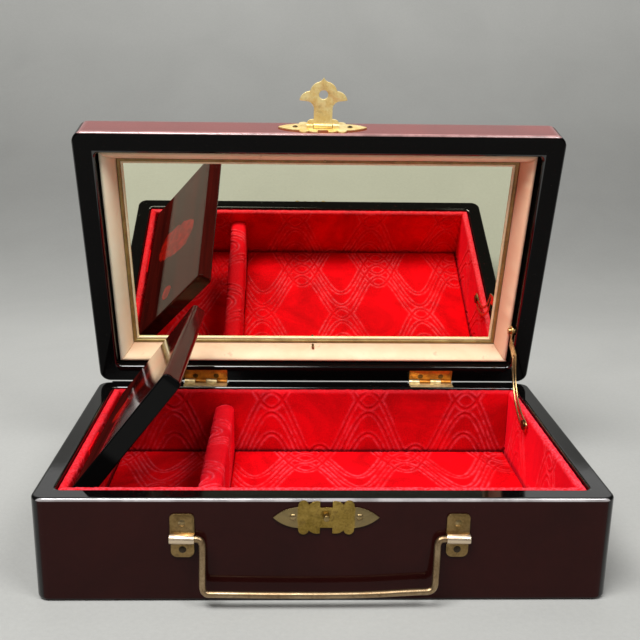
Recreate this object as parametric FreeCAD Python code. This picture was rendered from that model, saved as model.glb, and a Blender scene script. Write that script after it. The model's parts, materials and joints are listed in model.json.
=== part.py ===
import FreeCAD, Part
import math
import os

os.makedirs("parts", exist_ok=True)
V = FreeCAD.Vector

# Lacquered jewellery box, open, in millimetres.
# Origin: centre of the footprint on the table. +X right, +Y to the hinges, +Z up.
# Everything in the lid is drawn with the lid shut, then turned up to the open angle.

# Base carcass
WIDTH = 250.0
DEPTH = 150.0
BASE_H = 49.0
WALL = 9.0
CORNER_R = 6.0
RIM_R = 1.5
FOOT_R = 2.0
PANEL_Z = 0.0
PANEL_T = 6.8

# Velvet-covered boards inside the base
LINING_GAP = 1.1
LINING_T = 3.6
LINING_TOP = 47.2
FLOOR_TOP = 12.0
DIVIDER_X = -51.8
DIVIDER_T = 11.0
DIVIDER_TOP = 40.0

# Lid carcass
LID_T = 20.0
RIM_GAP = 0.4
RAIL_SIDE = 11.0
RAIL_BACK = 10.4
RAIL_FRONT = 11.0
TOP_PANEL_T = 2.5
LID_EDGE_R = 3.0
LID_OPEN = 74.5
HINGE_Y = DEPTH / 2
HINGE_Z = BASE_H + RIM_GAP / 2
LID_Z = BASE_H + RIM_GAP

# Mirror and its surround, depths measured from the lid's rim
MIRROR_DEPTH = 16.0
MIRROR_T = 1.5
STRIP_DEPTH = 4.3
STRIP_IN = 7.6
FILLET_IN = 9.6
LIP_IN = 10.8

# Hinges
HINGE_XS = (-63.5, 68.0)
HINGE_L = 25.0
LEAF_T = 0.9
LEAF_D = 8.0
KNUCKLE_R = 1.7
HINGE_PIN_R = 0.8
RUN = 0.06

# Hasp on the lid and catch plate on the front
HASP_X = 1.2
HASP_PIVOT_UP = 7.8
HASP_PIVOT_OUT = 1.7
HASP_T = 0.8
HASP_HOLE = 16.0
HASP_HOLE_R = 2.3
CATCH_X = 0.6
CATCH_Z = 40.5
POST_Z = 41.2
POST_R = 1.35
PLATE_T = 0.7
PLATE_UP = 9.5

# Handle
BAIL_AXIS_Y = -77.4
BAIL_AXIS_Z = 31.4
WIRE_R = 1.25
BRACKETS = ((-65.8, -55.4), (52.2, 62.1))
ARM_XS = (-52.2, 48.95)
BAIL_LOW_Z = 4.9

# Slotted stay between lid and base, in the plane of the right lining
STAY_S = 34.0
STAY_D = 2.5
STAY_PIN = (22.0, 43.8)
STAY_TURN = 0.08
STAY_T = 0.6
STAY_X = 110.25
EYE_X = 113.15
STAY_HALF = 3.6
SLOT_HALF = 1.6

# Compartment flap
FLAP_PIVOT = (-105.9, 44.8)
FLAP_T = 8.9
FLAP_REACH = 67.3
FLAP_Y = (-60.9, 59.7)
FLAP_OPEN = 51.6
FLAP_HINGE_Y = (-21.0, 1.5)


def box(x0, x1, y0, y1, z0, z1):
    return Part.makeBox(x1 - x0, y1 - y0, z1 - z0, V(x0, y0, z0))


def rod(p0, p1, r):
    """Cylinder from point p0 to point p1."""
    a = V(*p0)
    d = V(*p1) - a
    return Part.makeCylinder(r, d.Length, a, d)


def edges_where(shape, test):
    return [e for e in shape.Edges if test(e)]


def upright(e):
    a = e.Vertexes[0].Point
    b = e.Vertexes[-1].Point
    return abs(a.x - b.x) < 1e-6 and abs(a.y - b.y) < 1e-6 and abs(a.z - b.z) > 1e-3


def at_height(e, z):
    return all(abs(v.Point.z - z) < 1e-6 for v in e.Vertexes)


def round_box(x0, x1, y0, y1, z0, z1, corner, top=0.0, bottom=0.0):
    """Box with rounded upright corners and rounded top and bottom edges."""
    s = box(x0, x1, y0, y1, z0, z1)
    s = s.makeFillet(corner, edges_where(s, upright))
    if top:
        s = s.makeFillet(top, edges_where(s, lambda e: at_height(e, z1)))
    if bottom:
        s = s.makeFillet(bottom, edges_where(s, lambda e: at_height(e, z0)))
    return s


def inside_plan(e, hx, y0, y1):
    return all(abs(v.Point.x) < hx and y0 < v.Point.y < y1 for v in e.Vertexes)


def prism(points, z0, z1):
    """Upright prism over a plan polygon."""
    ring = [V(x, y, z0) for x, y in points]
    face = Part.Face(Part.makePolygon(ring + [ring[0]]))
    return face.extrude(V(0, 0, z1 - z0))


def mitre_cuts(hx, y0, y1, z0, z1, reach=40.0, gap=0.0):
    """Four plan prisms that part a rectangular frame along 45 degree mitres."""
    out = 6.0
    g = gap / 2
    wide = hx + out - g
    slim = hx - reach - g
    near = [(-wide, y0 - out), (wide, y0 - out), (slim, y0 + reach), (-slim, y0 + reach)]
    far = [(-wide, y1 + out), (wide, y1 + out), (slim, y1 - reach), (-slim, y1 - reach)]
    right = [(hx + out, y0 - out + g), (hx - reach, y0 + reach + g),
             (hx - reach, y1 - reach - g), (hx + out, y1 + out - g)]
    left = [(-x, y) for x, y in right]
    return {
        "front": prism(near, z0, z1),
        "back": prism(far, z0, z1),
        "left": prism(left, z0, z1),
        "right": prism(right, z0, z1),
    }


def part_frame(ring, cuts):
    return {side: ring.common(cut).removeSplitter() for side, cut in cuts.items()}


def open_lid(shape):
    s = shape.copy()
    s.rotate(V(0, HINGE_Y, HINGE_Z), V(1, 0, 0), -LID_OPEN)
    return s


def lid_y(s):
    """World Y, lid shut, of a distance s from the lid's hinge edge."""
    return HINGE_Y - s


def write(name, shape):
    shape.exportStep("parts/" + name + ".step")


# Base walls: one rounded frame, parted at the corners
def base_walls():
    hx = WIDTH / 2
    hy = DEPTH / 2
    outer = round_box(-hx, hx, -hy, hy, 0, BASE_H, CORNER_R, RIM_R, FOOT_R)
    ix = hx - WALL
    iy = hy - WALL
    inner = round_box(-ix, ix, -iy, iy, -5, BASE_H + 5, 3.0)
    ring = outer.cut(inner)
    rim = edges_where(ring, lambda e: at_height(e, BASE_H) and inside_plan(e, ix + 0.1, -iy - 0.1, iy + 0.1))
    ring = ring.makeFillet(RIM_R - 0.3, rim)
    walls = part_frame(ring, mitre_cuts(hx, -hy, hy, -5, BASE_H + 5, reach=20.0))
    panel = inner.common(box(-hx, hx, -hy, hy, PANEL_Z, PANEL_Z + PANEL_T))
    return walls, panel


def linings():
    hx = WIDTH / 2 - WALL - LINING_GAP
    hy = DEPTH / 2 - WALL - LINING_GAP + 0.1
    z0 = PANEL_Z + PANEL_T
    outer = round_box(-hx, hx, -hy, hy, z0, LINING_TOP, 2.2)
    ix = hx - LINING_T
    iy = hy - LINING_T
    inner = round_box(-ix, ix, -iy, iy, z0 - 5, LINING_TOP + 5, 0.8)
    ring = outer.cut(inner)
    ring = ring.makeFillet(1.6, edges_where(ring, lambda e: at_height(e, LINING_TOP)))
    return part_frame(ring, mitre_cuts(hx, -hy, hy, z0 - 2, LINING_TOP + 2, reach=20.0, gap=0.3))


def floor_pad(x0, x1):
    y = DEPTH / 2 - WALL - LINING_GAP - LINING_T - 0.2
    z0 = PANEL_Z + PANEL_T
    pad = round_box(x0, x1, -y, y, z0, FLOOR_TOP, 1.2)
    return pad.makeFillet(1.8, edges_where(pad, lambda e: at_height(e, FLOOR_TOP)))


def divider():
    y = DEPTH / 2 - WALL - LINING_GAP - LINING_T - 0.2
    z0 = PANEL_Z + PANEL_T
    s = round_box(DIVIDER_X - DIVIDER_T / 2, DIVIDER_X + DIVIDER_T / 2, -y, y, z0, DIVIDER_TOP, 1.8)
    return s.makeFillet(3.4, edges_where(s, lambda e: at_height(e, DIVIDER_TOP)))


# Lid, drawn shut
def lid_shell():
    hx = WIDTH / 2
    hy = DEPTH / 2
    z1 = LID_Z + LID_T
    outer = round_box(-hx, hx, -hy, hy, LID_Z, z1, CORNER_R, LID_EDGE_R, RIM_R)
    ix = hx - RAIL_SIDE
    y0 = lid_y(DEPTH - RAIL_FRONT)
    y1 = lid_y(RAIL_BACK)
    inner = round_box(-ix, ix, y0, y1, LID_Z - 5, z1 + 5, 2.5)
    ring = outer.cut(inner)
    rim = edges_where(ring, lambda e: at_height(e, LID_Z) and inside_plan(e, ix + 0.1, y0 - 0.1, y1 + 0.1))
    ring = ring.makeFillet(RIM_R - 0.3, rim)
    rails = part_frame(ring, mitre_cuts(hx, -hy, hy, LID_Z - 5, z1 + 5, reach=20.0))
    panel = inner.common(box(-hx, hx, -hy, hy, z1 - TOP_PANEL_T, z1))
    return rails, panel


def mirror_rect(inset):
    """Plan limits at a distance in from the rails' inner faces."""
    hx = WIDTH / 2 - RAIL_SIDE - inset
    return -hx, hx, lid_y(DEPTH - RAIL_FRONT) + inset, lid_y(RAIL_BACK) - inset


def mirror_glass():
    x0, x1, y0, y1 = mirror_rect(0.6)
    z = LID_Z + MIRROR_DEPTH
    return round_box(x0, x1, y0, y1, z, z + MIRROR_T, 2.0)


def flat_ring(inset_out, inset_in, d0, d1, rounding):
    """Thin frame round the mirror, rounded on the side that faces out of the lid."""
    z0 = LID_Z + d0
    z1 = LID_Z + d1
    a = mirror_rect(inset_out)
    b = mirror_rect(inset_in)
    ring = box(*a, z0, z1).cut(box(*b, z0 - 1, z1 + 1))
    return ring.makeFillet(rounding, edges_where(ring, lambda e: at_height(e, z0)))


def strip_section(w0):
    """Section of a padded strip: w in from the rail, d down from the lid's rim."""
    base = MIRROR_DEPTH - 0.1
    knee = STRIP_DEPTH + 9.6
    pts = [(w0, base), (w0, STRIP_DEPTH + 1.2), (w0 + 0.5, STRIP_DEPTH + 0.3), (w0 + 1.7, STRIP_DEPTH)]
    swell = ((w0 + 1.7 + STRIP_IN) / 2 + 1.0, (STRIP_DEPTH + knee) / 2 - 0.7)
    return pts, swell, (STRIP_IN, knee), (STRIP_IN, base)


def strip(side):
    """One cream strip, cut to the frame's mitres, with the lid shut."""
    w0 = 1.3 if side == "right" else 0.6
    pts, swell, low, foot = strip_section(w0)
    hx = WIDTH / 2 - RAIL_SIDE
    y0 = lid_y(DEPTH - RAIL_FRONT)
    y1 = lid_y(RAIL_BACK)
    over = 2.0

    def place(w, d):
        z = LID_Z + d
        if side == "left":
            return V(-hx + w, y0 - over, z)
        if side == "right":
            return V(hx - w, y0 - over, z)
        if side == "front":
            return V(-hx - over, y0 + w, z)
        return V(-hx - over, y1 - w, z)

    p = [place(*q) for q in pts]
    edges = [
        Part.makeLine(p[0], p[1]),
        Part.Arc(p[1], p[2], p[3]).toShape(),
        Part.Arc(p[3], place(*swell), place(*low)).toShape(),
        Part.makeLine(place(*low), place(*foot)),
        Part.makeLine(place(*foot), p[0]),
    ]
    face = Part.Face(Part.Wire(edges))
    run = V(0, y1 - y0 + 2 * over, 0) if side in ("left", "right") else V(2 * (hx + over), 0, 0)
    bar = face.extrude(run)
    bar = bar.common(box(*mirror_rect(0.5), LID_Z, LID_Z + LID_T))
    cuts = mitre_cuts(hx, y0, y1, LID_Z - 2, LID_Z + LID_T, reach=15.0, gap=0.25)
    return bar.common(cuts[side])


def frame_brads():
    """Two small nail heads, one in each long strip."""
    brads = []
    for x, s, w in ((2.8, 133.2, 5.8), (-1.1, 17.8, 7.4)):
        d = STRIP_DEPTH + 0.9 * (w - 2.3) * 1.2
        p = (x, lid_y(s), LID_Z + d - 0.9)
        q = (x, lid_y(s), LID_Z + d + 3.0)
        brads.append(rod(p, q, 0.65))
    return brads


# Hinges
def hinge_spans(xc):
    step = HINGE_L / 4
    x0 = xc - HINGE_L / 2
    return [(x0 + i * step + 0.12, x0 + (i + 1) * step - 0.12) for i in range(4)]


def axis_rod(x0, x1, r):
    return rod((x0, HINGE_Y, HINGE_Z), (x1, HINGE_Y, HINGE_Z), r)


def hinge_nail(x, up):
    """Flush nail; up is +1 into the lid, -1 into the base wall."""
    y = HINGE_Y - 4.05
    z = HINGE_Z + up * 0.1
    head = rod((x, y, z), (x, y, z + up * 0.6), 1.25)
    return head.fuse(rod((x, y, z + up * 0.6), (x, y, z + up * 6.0), 0.6)).removeSplitter()


def hinge(xc):
    """Base leaf, lid leaf, pin, and the mortises to cut in the walls."""
    h = HINGE_L / 2
    lo = HINGE_Z - 0.05
    hi = HINGE_Z + 0.05
    base = round_box(xc - h, xc + h, HINGE_Y - LEAF_D, HINGE_Y, lo - LEAF_T, lo, 0.6)
    lid = round_box(xc - h, xc + h, HINGE_Y - LEAF_D, HINGE_Y, hi, hi + LEAF_T, 0.6)
    for i, (x0, x1) in enumerate(hinge_spans(xc)):
        ring = axis_rod(x0, x1, KNUCKLE_R)
        clear = axis_rod(x0 - 0.24, x1 + 0.24, KNUCKLE_R + 0.35)
        if i % 2 == 0:
            lid = lid.cut(clear)
            base = base.fuse(ring)
        else:
            base = base.cut(clear)
            lid = lid.fuse(ring)
    bore = axis_rod(xc - h - 1, xc + h + 1, HINGE_PIN_R + RUN)
    pin = axis_rod(xc - h + 0.1, xc + h - 0.1, HINGE_PIN_R)
    trough = axis_rod(xc - h - 0.1, xc + h + 0.1, KNUCKLE_R + 0.4)
    base_cut = box(xc - h, xc + h, HINGE_Y - LEAF_D, HINGE_Y + 5, lo - LEAF_T, lo + 3).fuse(trough)
    lid_cut = box(xc - h, xc + h, HINGE_Y - LEAF_D, HINGE_Y + 5, hi - 3, hi + LEAF_T).fuse(trough)
    return base.cut(bore).removeSplitter(), lid.cut(bore).removeSplitter(), pin, base_cut, lid_cut


# Ornamental plates and hasp, drawn flat: w sideways, h up
def outline_face(segments, place):
    edges = []
    for seg in segments:
        p = [place(w, h) for w, h in seg]
        if len(p) == 2:
            edges.append(Part.makeLine(p[0], p[1]))
        else:
            edges.append(Part.Arc(p[0], p[1], p[2]).toShape())
    return Part.Face(Part.Wire(edges))


def both_sides(right):
    """Closes a right-hand chain of segments with its mirror image in w = 0."""
    left = [[(-w, h) for w, h in reversed(seg)] for seg in reversed(right)]
    return right + left


def plate_on_front(xc, zc):
    """Ornamental plate flat on the box's front face."""
    face = outline_face(plate_segments(), lambda w, h: V(xc + w, -DEPTH / 2, zc + h))
    return face.extrude(V(0, -PLATE_T, 0))


def plate_segments():
    """Leaf-tipped plate with two lobes and a square notch at the middle of each side."""
    top = [
        [(0.0, 4.7), (2.65, 4.7)],
        [(2.65, 4.7), (2.65, 7.3)],
        [(2.65, 7.3), (5.3, 7.3), (7.45, 5.85)],
        [(7.45, 5.85), (10.2, 7.8), (11.9, 5.6)],
        [(11.9, 5.6), (12.0, 4.8)],
        [(12.0, 4.8), (17.8, 3.3), (22.6, 0.0)],
    ]
    low = [[(w, -h) for w, h in reversed(seg)] for seg in reversed(top)]
    return both_sides(top + low)


def hasp_segments():
    """Hasp seen flat: h is the distance from the pivot, the pointed dome is at the far end."""
    right = [
        [(0.0, 0.6), (4.7, 0.6)],
        [(4.7, 0.6), (4.7, 9.4)],
        [(4.7, 9.4), (6.0, 11.7), (8.8, 12.8)],
        [(8.8, 12.8), (12.0, 13.2)],
        [(12.0, 13.2), (10.5, 16.1), (6.9, 17.7)],
        [(6.9, 17.7), (6.6, 18.2)],
        [(6.6, 18.2), (5.0, 20.9), (2.2, 22.3)],
        [(2.2, 22.3), (0.9, 23.2), (0.0, 24.6)],
    ]
    return both_sides(right)


def hasp_parts():
    """Hasp, its plate, pin and nails, with the lid shut and the hasp held straight out."""
    face_y = -DEPTH / 2
    piv_y = face_y - HASP_PIVOT_OUT
    piv_z = LID_Z + HASP_PIVOT_UP
    mid_z = LID_Z + PLATE_UP

    plate = plate_on_front(HASP_X, mid_z)
    plate = plate.cut(rod((HASP_X - 4.95, piv_y, piv_z), (HASP_X + 4.95, piv_y, piv_z), 1.45))
    for x0, x1 in ((-8.2, -5.0), (5.0, 8.2)):
        a = (HASP_X + x0, piv_y, piv_z)
        b = (HASP_X + x1, piv_y, piv_z)
        foot = box(HASP_X + x0, HASP_X + x1, piv_y, face_y, piv_z - 1.25, piv_z + 1.25)
        plate = plate.fuse(rod(a, b, 1.25)).fuse(foot)
    bore = rod((HASP_X - 8.2, piv_y, piv_z), (HASP_X + 8.2, piv_y, piv_z), 0.65)
    plate = plate.cut(bore).removeSplitter()
    pin = rod((HASP_X - 8.1, piv_y, piv_z), (HASP_X + 8.1, piv_y, piv_z), 0.65)

    def place(w, h):
        return V(HASP_X + w, piv_y - h, piv_z - HASP_T / 2)

    hasp = outline_face(hasp_segments(), place).extrude(V(0, 0, HASP_T))
    hasp = hasp.fuse(rod((HASP_X - 4.7, piv_y, piv_z), (HASP_X + 4.7, piv_y, piv_z), 1.25))
    hasp = hasp.cut(rod((HASP_X - 6, piv_y, piv_z), (HASP_X + 6, piv_y, piv_z), 0.65 + RUN))
    hole = rod((HASP_X, piv_y - HASP_HOLE, piv_z - 3), (HASP_X, piv_y - HASP_HOLE, piv_z + 3), HASP_HOLE_R)
    hasp = hasp.cut(hole).removeSplitter()

    nails = [dome_nail(HASP_X + x, face_y - PLATE_T, mid_z, 1.4, 0.6) for x in (-14.0, 14.0)]
    plate = drill(plate, nails)
    return hasp, plate, pin, nails


def dome_nail(x, y, z, r, rise):
    """Round-headed nail driven towards +Y, head standing out of the surface at y."""
    ball_r = (r * r + rise * rise) / (2 * rise)
    ball = Part.makeSphere(ball_r, V(x, y + ball_r - rise, z))
    head = ball.common(box(x - r - 1, x + r + 1, y - rise - 1, y, z - r - 1, z + r + 1))
    return head.fuse(rod((x, y, z), (x, y + 6.0, z), 0.6)).removeSplitter()


def drill(shape, tools):
    for t in tools:
        shape = shape.cut(t)
    return shape


def catch_parts():
    face_y = -DEPTH / 2
    plate = plate_on_front(CATCH_X, CATCH_Z)
    tip = face_y - PLATE_T - 2.6
    post = rod((CATCH_X, face_y + 6.0, POST_Z), (CATCH_X, tip, POST_Z), POST_R)
    post = post.makeFillet(0.4, edges_where(post, lambda e: abs(e.CenterOfMass.y - tip) < 1e-3))
    nails = [dome_nail(CATCH_X + x, face_y - PLATE_T, CATCH_Z + 0.2, 1.5, 0.7) for x in (-14.2, 14.2)]
    plate = drill(plate.cut(post), nails)
    return plate, post, nails


# Carrying handle
def bracket(x0, x1):
    face_y = -DEPTH / 2
    t = 0.8
    xc = (x0 + x1) / 2
    w = (x1 - x0) / 2
    upper = box(xc - w, xc + w, face_y - t, face_y, BAIL_AXIS_Z, 42.2)
    upper = upper.makeFillet(2.0, edges_where(upper, lambda e: at_height(e, 42.2) and e.Length < 1.0))
    lower = box(xc - w + 0.2, xc + w - 0.2, face_y - t, face_y, 22.0, BAIL_AXIS_Z)
    lower = lower.makeFillet(2.8, edges_where(lower, lambda e: at_height(e, 22.0) and e.Length < 1.0))
    hump = rod((xc - w - 0.1, BAIL_AXIS_Y, BAIL_AXIS_Z), (xc + w + 0.1, BAIL_AXIS_Y, BAIL_AXIS_Z), 2.1)
    web = box(xc - w - 0.1, xc + w + 0.1, BAIL_AXIS_Y, face_y, BAIL_AXIS_Z - 2.1, BAIL_AXIS_Z + 2.1)
    s = upper.fuse(lower).fuse(hump).fuse(web)
    s = s.cut(rod((x0 - 2, BAIL_AXIS_Y, BAIL_AXIS_Z), (x1 + 2, BAIL_AXIS_Y, BAIL_AXIS_Z), WIRE_R + RUN))
    nails = [dome_nail(xc, face_y - t, 38.0, 1.6, 0.45), dome_nail(xc, face_y - t, 25.6, 1.6, 0.45)]
    return drill(s.removeSplitter(), nails), nails


def bail():
    """Wire bail: two ends in the brackets, two arms and a straight grip."""
    y = BAIL_AXIS_Y
    top = BAIL_AXIS_Z
    low = BAIL_LOW_Z
    r = 3.1
    q = 4.0
    xl, xr = ARM_XS
    a = BRACKETS[0][0] + 0.6
    b = BRACKETS[1][1] - 0.6
    k = 1 - math.sqrt(0.5)
    edges = [
        Part.makeLine(V(a, y, top), V(xl - r, y, top)),
        Part.Arc(V(xl - r, y, top), V(xl - r * k, y, top - r * k), V(xl, y, top - r)).toShape(),
        Part.makeLine(V(xl, y, top - r), V(xl, y, low + q)),
        Part.Arc(V(xl, y, low + q), V(xl + q * k, y, low + q * k), V(xl + q, y, low)).toShape(),
        Part.makeLine(V(xl + q, y, low), V(xr - q, y, low)),
        Part.Arc(V(xr - q, y, low), V(xr - q * k, y, low + q * k), V(xr, y, low + q)).toShape(),
        Part.makeLine(V(xr, y, low + q), V(xr, y, top - r)),
        Part.Arc(V(xr, y, top - r), V(xr + r * k, y, top - r * k), V(xr + r, y, top)).toShape(),
        Part.makeLine(V(xr + r, y, top), V(b, y, top)),
    ]
    section = Part.Wire([Part.makeCircle(WIRE_R, V(a, y, top), V(1, 0, 0))])
    return Part.Wire(edges).makePipeShell([section], True, False)


# Slotted stay
def turned(y, z, angle):
    c = math.cos(angle)
    s = math.sin(angle)
    return y * c - z * s, y * s + z * c


def stay_eye(angle):
    """Y and Z of the stay's lid pin with the lid open by an angle in radians."""
    d = STAY_D + RIM_GAP / 2
    y = HINGE_Y - STAY_S * math.cos(angle) + d * math.sin(angle)
    z = HINGE_Z + STAY_S * math.sin(angle) + d * math.cos(angle)
    return y, z


def slot_path(extra=2.5, count=17):
    """Path of the base pin along the stay, drawn on the stay in its open pose.

    The stay turns STAY_TURN as fast as the lid, the other way round, so the slot
    is the curve that the fixed pin traces on it from open to shut.
    """
    full = math.radians(LID_OPEN)
    ey, ez = stay_eye(full)
    path = []
    for i in range(count):
        a = (full + math.radians(extra)) * (1 - i / (count - 1))
        ly, lz = stay_eye(a)
        dy, dz = turned(STAY_PIN[0] - ly, STAY_PIN[1] - lz, -STAY_TURN * (a - full))
        path.append((ey + dy, ez + dz))
    return path


def band(path, half, x0, t):
    """Flat band of half-width half along a path in the YZ plane, with round ends."""
    n = len(path)
    left = []
    right = []
    ends = []
    for i in range(n):
        y0, z0 = path[max(i - 1, 0)]
        y1, z1 = path[min(i + 1, n - 1)]
        run = math.hypot(y1 - y0, z1 - z0)
        ty, tz = (y1 - y0) / run, (z1 - z0) / run
        y, z = path[i]
        left.append(V(x0, y - tz * half, z + ty * half))
        right.append(V(x0, y + tz * half, z - ty * half))
        if i in (0, n - 1):
            sign = -1 if i == 0 else 1
            ends.append(V(x0, y + sign * ty * half, z + sign * tz * half))
    side_a = Part.BSplineCurve()
    side_a.interpolate(left)
    side_b = Part.BSplineCurve()
    side_b.interpolate(list(reversed(right)))
    edges = [
        side_a.toShape(),
        Part.Arc(left[-1], ends[1], right[-1]).toShape(),
        side_b.toShape(),
        Part.Arc(right[0], ends[0], left[0]).toShape(),
    ]
    return Part.Face(Part.Wire(edges)).extrude(V(t, 0, 0))


def stay():
    path = slot_path()
    ey, ez = stay_eye(math.radians(LID_OPEN))
    ty, tz = path[-1]
    run = math.hypot(ey - ty, ez - tz)
    uy, uz = (ty - ey) / run, (tz - ez) / run

    def at(dist, side, x):
        return V(x, ey + uy * dist - uz * side, ez + uz * dist + uy * side)

    blade = band(path, STAY_HALF, STAY_X, STAY_T)
    arm_pts = [at(6.6, -2.2, STAY_X), at(run, -3.4, STAY_X), at(run, 3.4, STAY_X), at(6.6, 2.2, STAY_X)]
    arm = Part.Face(Part.makePolygon(arm_pts + [arm_pts[0]])).extrude(V(STAY_T, 0, 0))
    jog_pts = [
        at(6.8, -2.2, STAY_X),
        at(6.8, -2.2, STAY_X + STAY_T),
        at(2.6, -2.2, EYE_X + STAY_T),
        at(2.6, -2.2, EYE_X),
    ]
    side = at(0, 4.4, 0) - at(0, 0, 0)
    jog = Part.Face(Part.makePolygon(jog_pts + [jog_pts[0]])).extrude(side)
    eye = rod((EYE_X, ey, ez), (EYE_X + STAY_T, ey, ez), 3.4)
    s = blade.fuse(arm).fuse(jog).fuse(eye)
    s = s.cut(band(path, SLOT_HALF, STAY_X - 2, STAY_T + 4))
    s = s.cut(rod((EYE_X - 2, ey, ez), (EYE_X + 3, ey, ez), 1.3 + RUN))
    lid_pin = rod((118.0, ey, ez), (112.9, ey, ez), 1.3).fuse(rod((112.9, ey, ez), (110.3, ey, ez), 1.8))
    by, bz = STAY_PIN
    base_pin = rod((120.0, by, bz), (109.9, by, bz), 1.25).fuse(rod((109.9, by, bz), (109.2, by, bz), 2.6))
    return s.removeSplitter(), lid_pin.removeSplitter(), base_pin.removeSplitter()


# Compartment flap
def flap_parts():
    px, pz = FLAP_PIVOT
    y0, y1 = FLAP_Y
    r = FLAP_T / 2
    leaf = box(px, px + FLAP_REACH, y0, y1, pz - r, pz + r)
    free = edges_where(leaf, lambda e: abs(e.CenterOfMass.x - px - FLAP_REACH) < 1e-6 and e.Length > 50)
    leaf = leaf.makeFillet(2.4, free)
    leaf = leaf.fuse(rod((px, y0, pz), (px, y1, pz), r)).removeSplitter()
    for y in (y0, y1):
        rim = edges_where(leaf, lambda e: all(abs(v.Point.y - y) < 1e-6 for v in e.Vertexes))
        leaf = leaf.makeFillet(0.9, rim)
    h0, h1 = FLAP_HINGE_Y
    wedge = [V(px, h0 - 0.4, pz)]
    for deg in (198, 243, 288):
        a = math.radians(deg)
        wedge.append(V(px + 9 * math.cos(a), h0 - 0.4, pz + 9 * math.sin(a)))
    notch = Part.Face(Part.makePolygon(wedge + [wedge[0]])).extrude(V(0, h1 - h0 + 0.8, 0))
    notch = notch.fuse(rod((px, h0 - 0.4, pz), (px, h1 + 0.4, pz), 2.05))
    pin = rod((px, h0 - 4.5, pz), (px, h1 + 4.5, pz), 0.8)
    leaf = leaf.cut(notch).cut(pin)

    wall_x = -(WIDTH / 2 - WALL - LINING_GAP - LINING_T)
    t = 0.6
    low = pz - r - 1.6
    plate = box(wall_x, wall_x + t, h0, h1, low, 47.6)
    shelf = box(wall_x, px + 0.4, h0, h1, low, low + t)
    post = box(px - 0.4, px + 0.4, h0, h1, low, pz)
    knuckle = rod((px, h0, pz), (px, h1, pz), 1.7)
    mount = plate.fuse(shelf).fuse(post).fuse(knuckle)
    mount = mount.cut(rod((px, h0 - 1, pz), (px, h1 + 1, pz), 0.8 + RUN)).removeSplitter()

    moving = []
    for s in (leaf, pin):
        s.rotate(V(px, 0, pz), V(0, 1, 0), -FLAP_OPEN)
        moving.append(s)
    return moving[0], moving[1], mount


def main():
    walls, bottom = base_walls()
    pads = linings()
    rails, top = lid_shell()

    base_leaves = []
    lid_leaves = []
    base_nails = []
    lid_nails = []
    for side, xc in zip(("left", "right"), HINGE_XS):
        base_leaf, lid_leaf, pin, base_cut, lid_cut = hinge(xc)
        low = [hinge_nail(xc + dx, -1) for dx in (-6.0, 6.0)]
        high = [hinge_nail(xc + dx, 1) for dx in (-6.0, 6.0)]
        walls["back"] = drill(walls["back"].cut(base_cut), low)
        rails["back"] = drill(rails["back"].cut(lid_cut), high)
        base_nails += low
        lid_nails += high
        base_leaves.append((side, drill(base_leaf, low)))
        lid_leaves.append((side, drill(lid_leaf, high)))
        write("hinge_" + side + "_pin", pin)
    for side, leaf in base_leaves:
        write("hinge_" + side + "_base_leaf", leaf)
    for side, leaf in lid_leaves:
        write("hinge_" + side + "_lid_leaf", open_lid(leaf))
    write("hinge_base_nails", Part.makeCompound(base_nails))
    write("hinge_lid_nails", open_lid(Part.makeCompound(lid_nails)))

    hasp, hasp_plate, hasp_pin, hasp_nails = hasp_parts()
    rails["front"] = drill(rails["front"], hasp_nails)
    write("hasp", open_lid(hasp))
    write("hasp_plate", open_lid(hasp_plate))
    write("hasp_pin", open_lid(hasp_pin))
    write("hasp_plate_nails", open_lid(Part.makeCompound(hasp_nails)))

    catch, post, catch_nails = catch_parts()
    front = drill(walls["front"].cut(post), catch_nails)
    write("catch_plate", catch)
    write("catch_post", post)
    write("catch_plate_nails", Part.makeCompound(catch_nails))

    bracket_nails = []
    for side, (x0, x1) in zip(("left", "right"), BRACKETS):
        shape, nails = bracket(x0, x1)
        front = drill(front, nails)
        bracket_nails += nails
        write("handle_bracket_" + side, shape)
    walls["front"] = front
    write("handle_bracket_nails", Part.makeCompound(bracket_nails))
    write("bail_handle", bail())

    strap, lid_pin, base_pin = stay()
    shut_pin = lid_pin.copy()
    shut_pin.rotate(V(0, HINGE_Y, HINGE_Z), V(1, 0, 0), LID_OPEN)
    rails["right"] = rails["right"].cut(shut_pin)
    walls["right"] = walls["right"].cut(base_pin)
    pads["right"] = pads["right"].cut(base_pin)
    write("stay_strap", strap)
    write("stay_lid_pin", lid_pin)
    write("stay_base_pin", base_pin)

    for side in ("front", "back", "left", "right"):
        write("base_" + side + "_wall", walls[side])
        write("lining_" + side, pads[side])
        write("lid_" + side + "_rail", open_lid(rails[side]))
    write("base_bottom_panel", bottom)
    write("lid_top_panel", open_lid(top))

    half = WIDTH / 2 - WALL - LINING_GAP - LINING_T - 0.3
    write("floor_pad_small", floor_pad(-half, DIVIDER_X - DIVIDER_T / 2 - 0.2))
    write("floor_pad_large", floor_pad(DIVIDER_X + DIVIDER_T / 2 + 0.2, half))
    write("compartment_divider", divider())

    brads = frame_brads()
    write("mirror_glass", open_lid(mirror_glass()))
    write("mirror_fillet", open_lid(flat_ring(STRIP_IN + 0.05, FILLET_IN, 13.9, 15.9, 0.8)))
    write("mirror_lip", open_lid(flat_ring(FILLET_IN + 0.05, LIP_IN, 15.0, 15.9, 0.3)))
    for side in ("front", "back", "left", "right"):
        write("frame_strip_" + side, open_lid(drill(strip(side), brads)))
    write("frame_brads", open_lid(Part.makeCompound(brads)))

    leaf, flap_pin, mount = flap_parts()
    write("compartment_flap", leaf)
    write("flap_hinge_pin", flap_pin)
    write("flap_hinge_plate", mount)


main()
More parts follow.
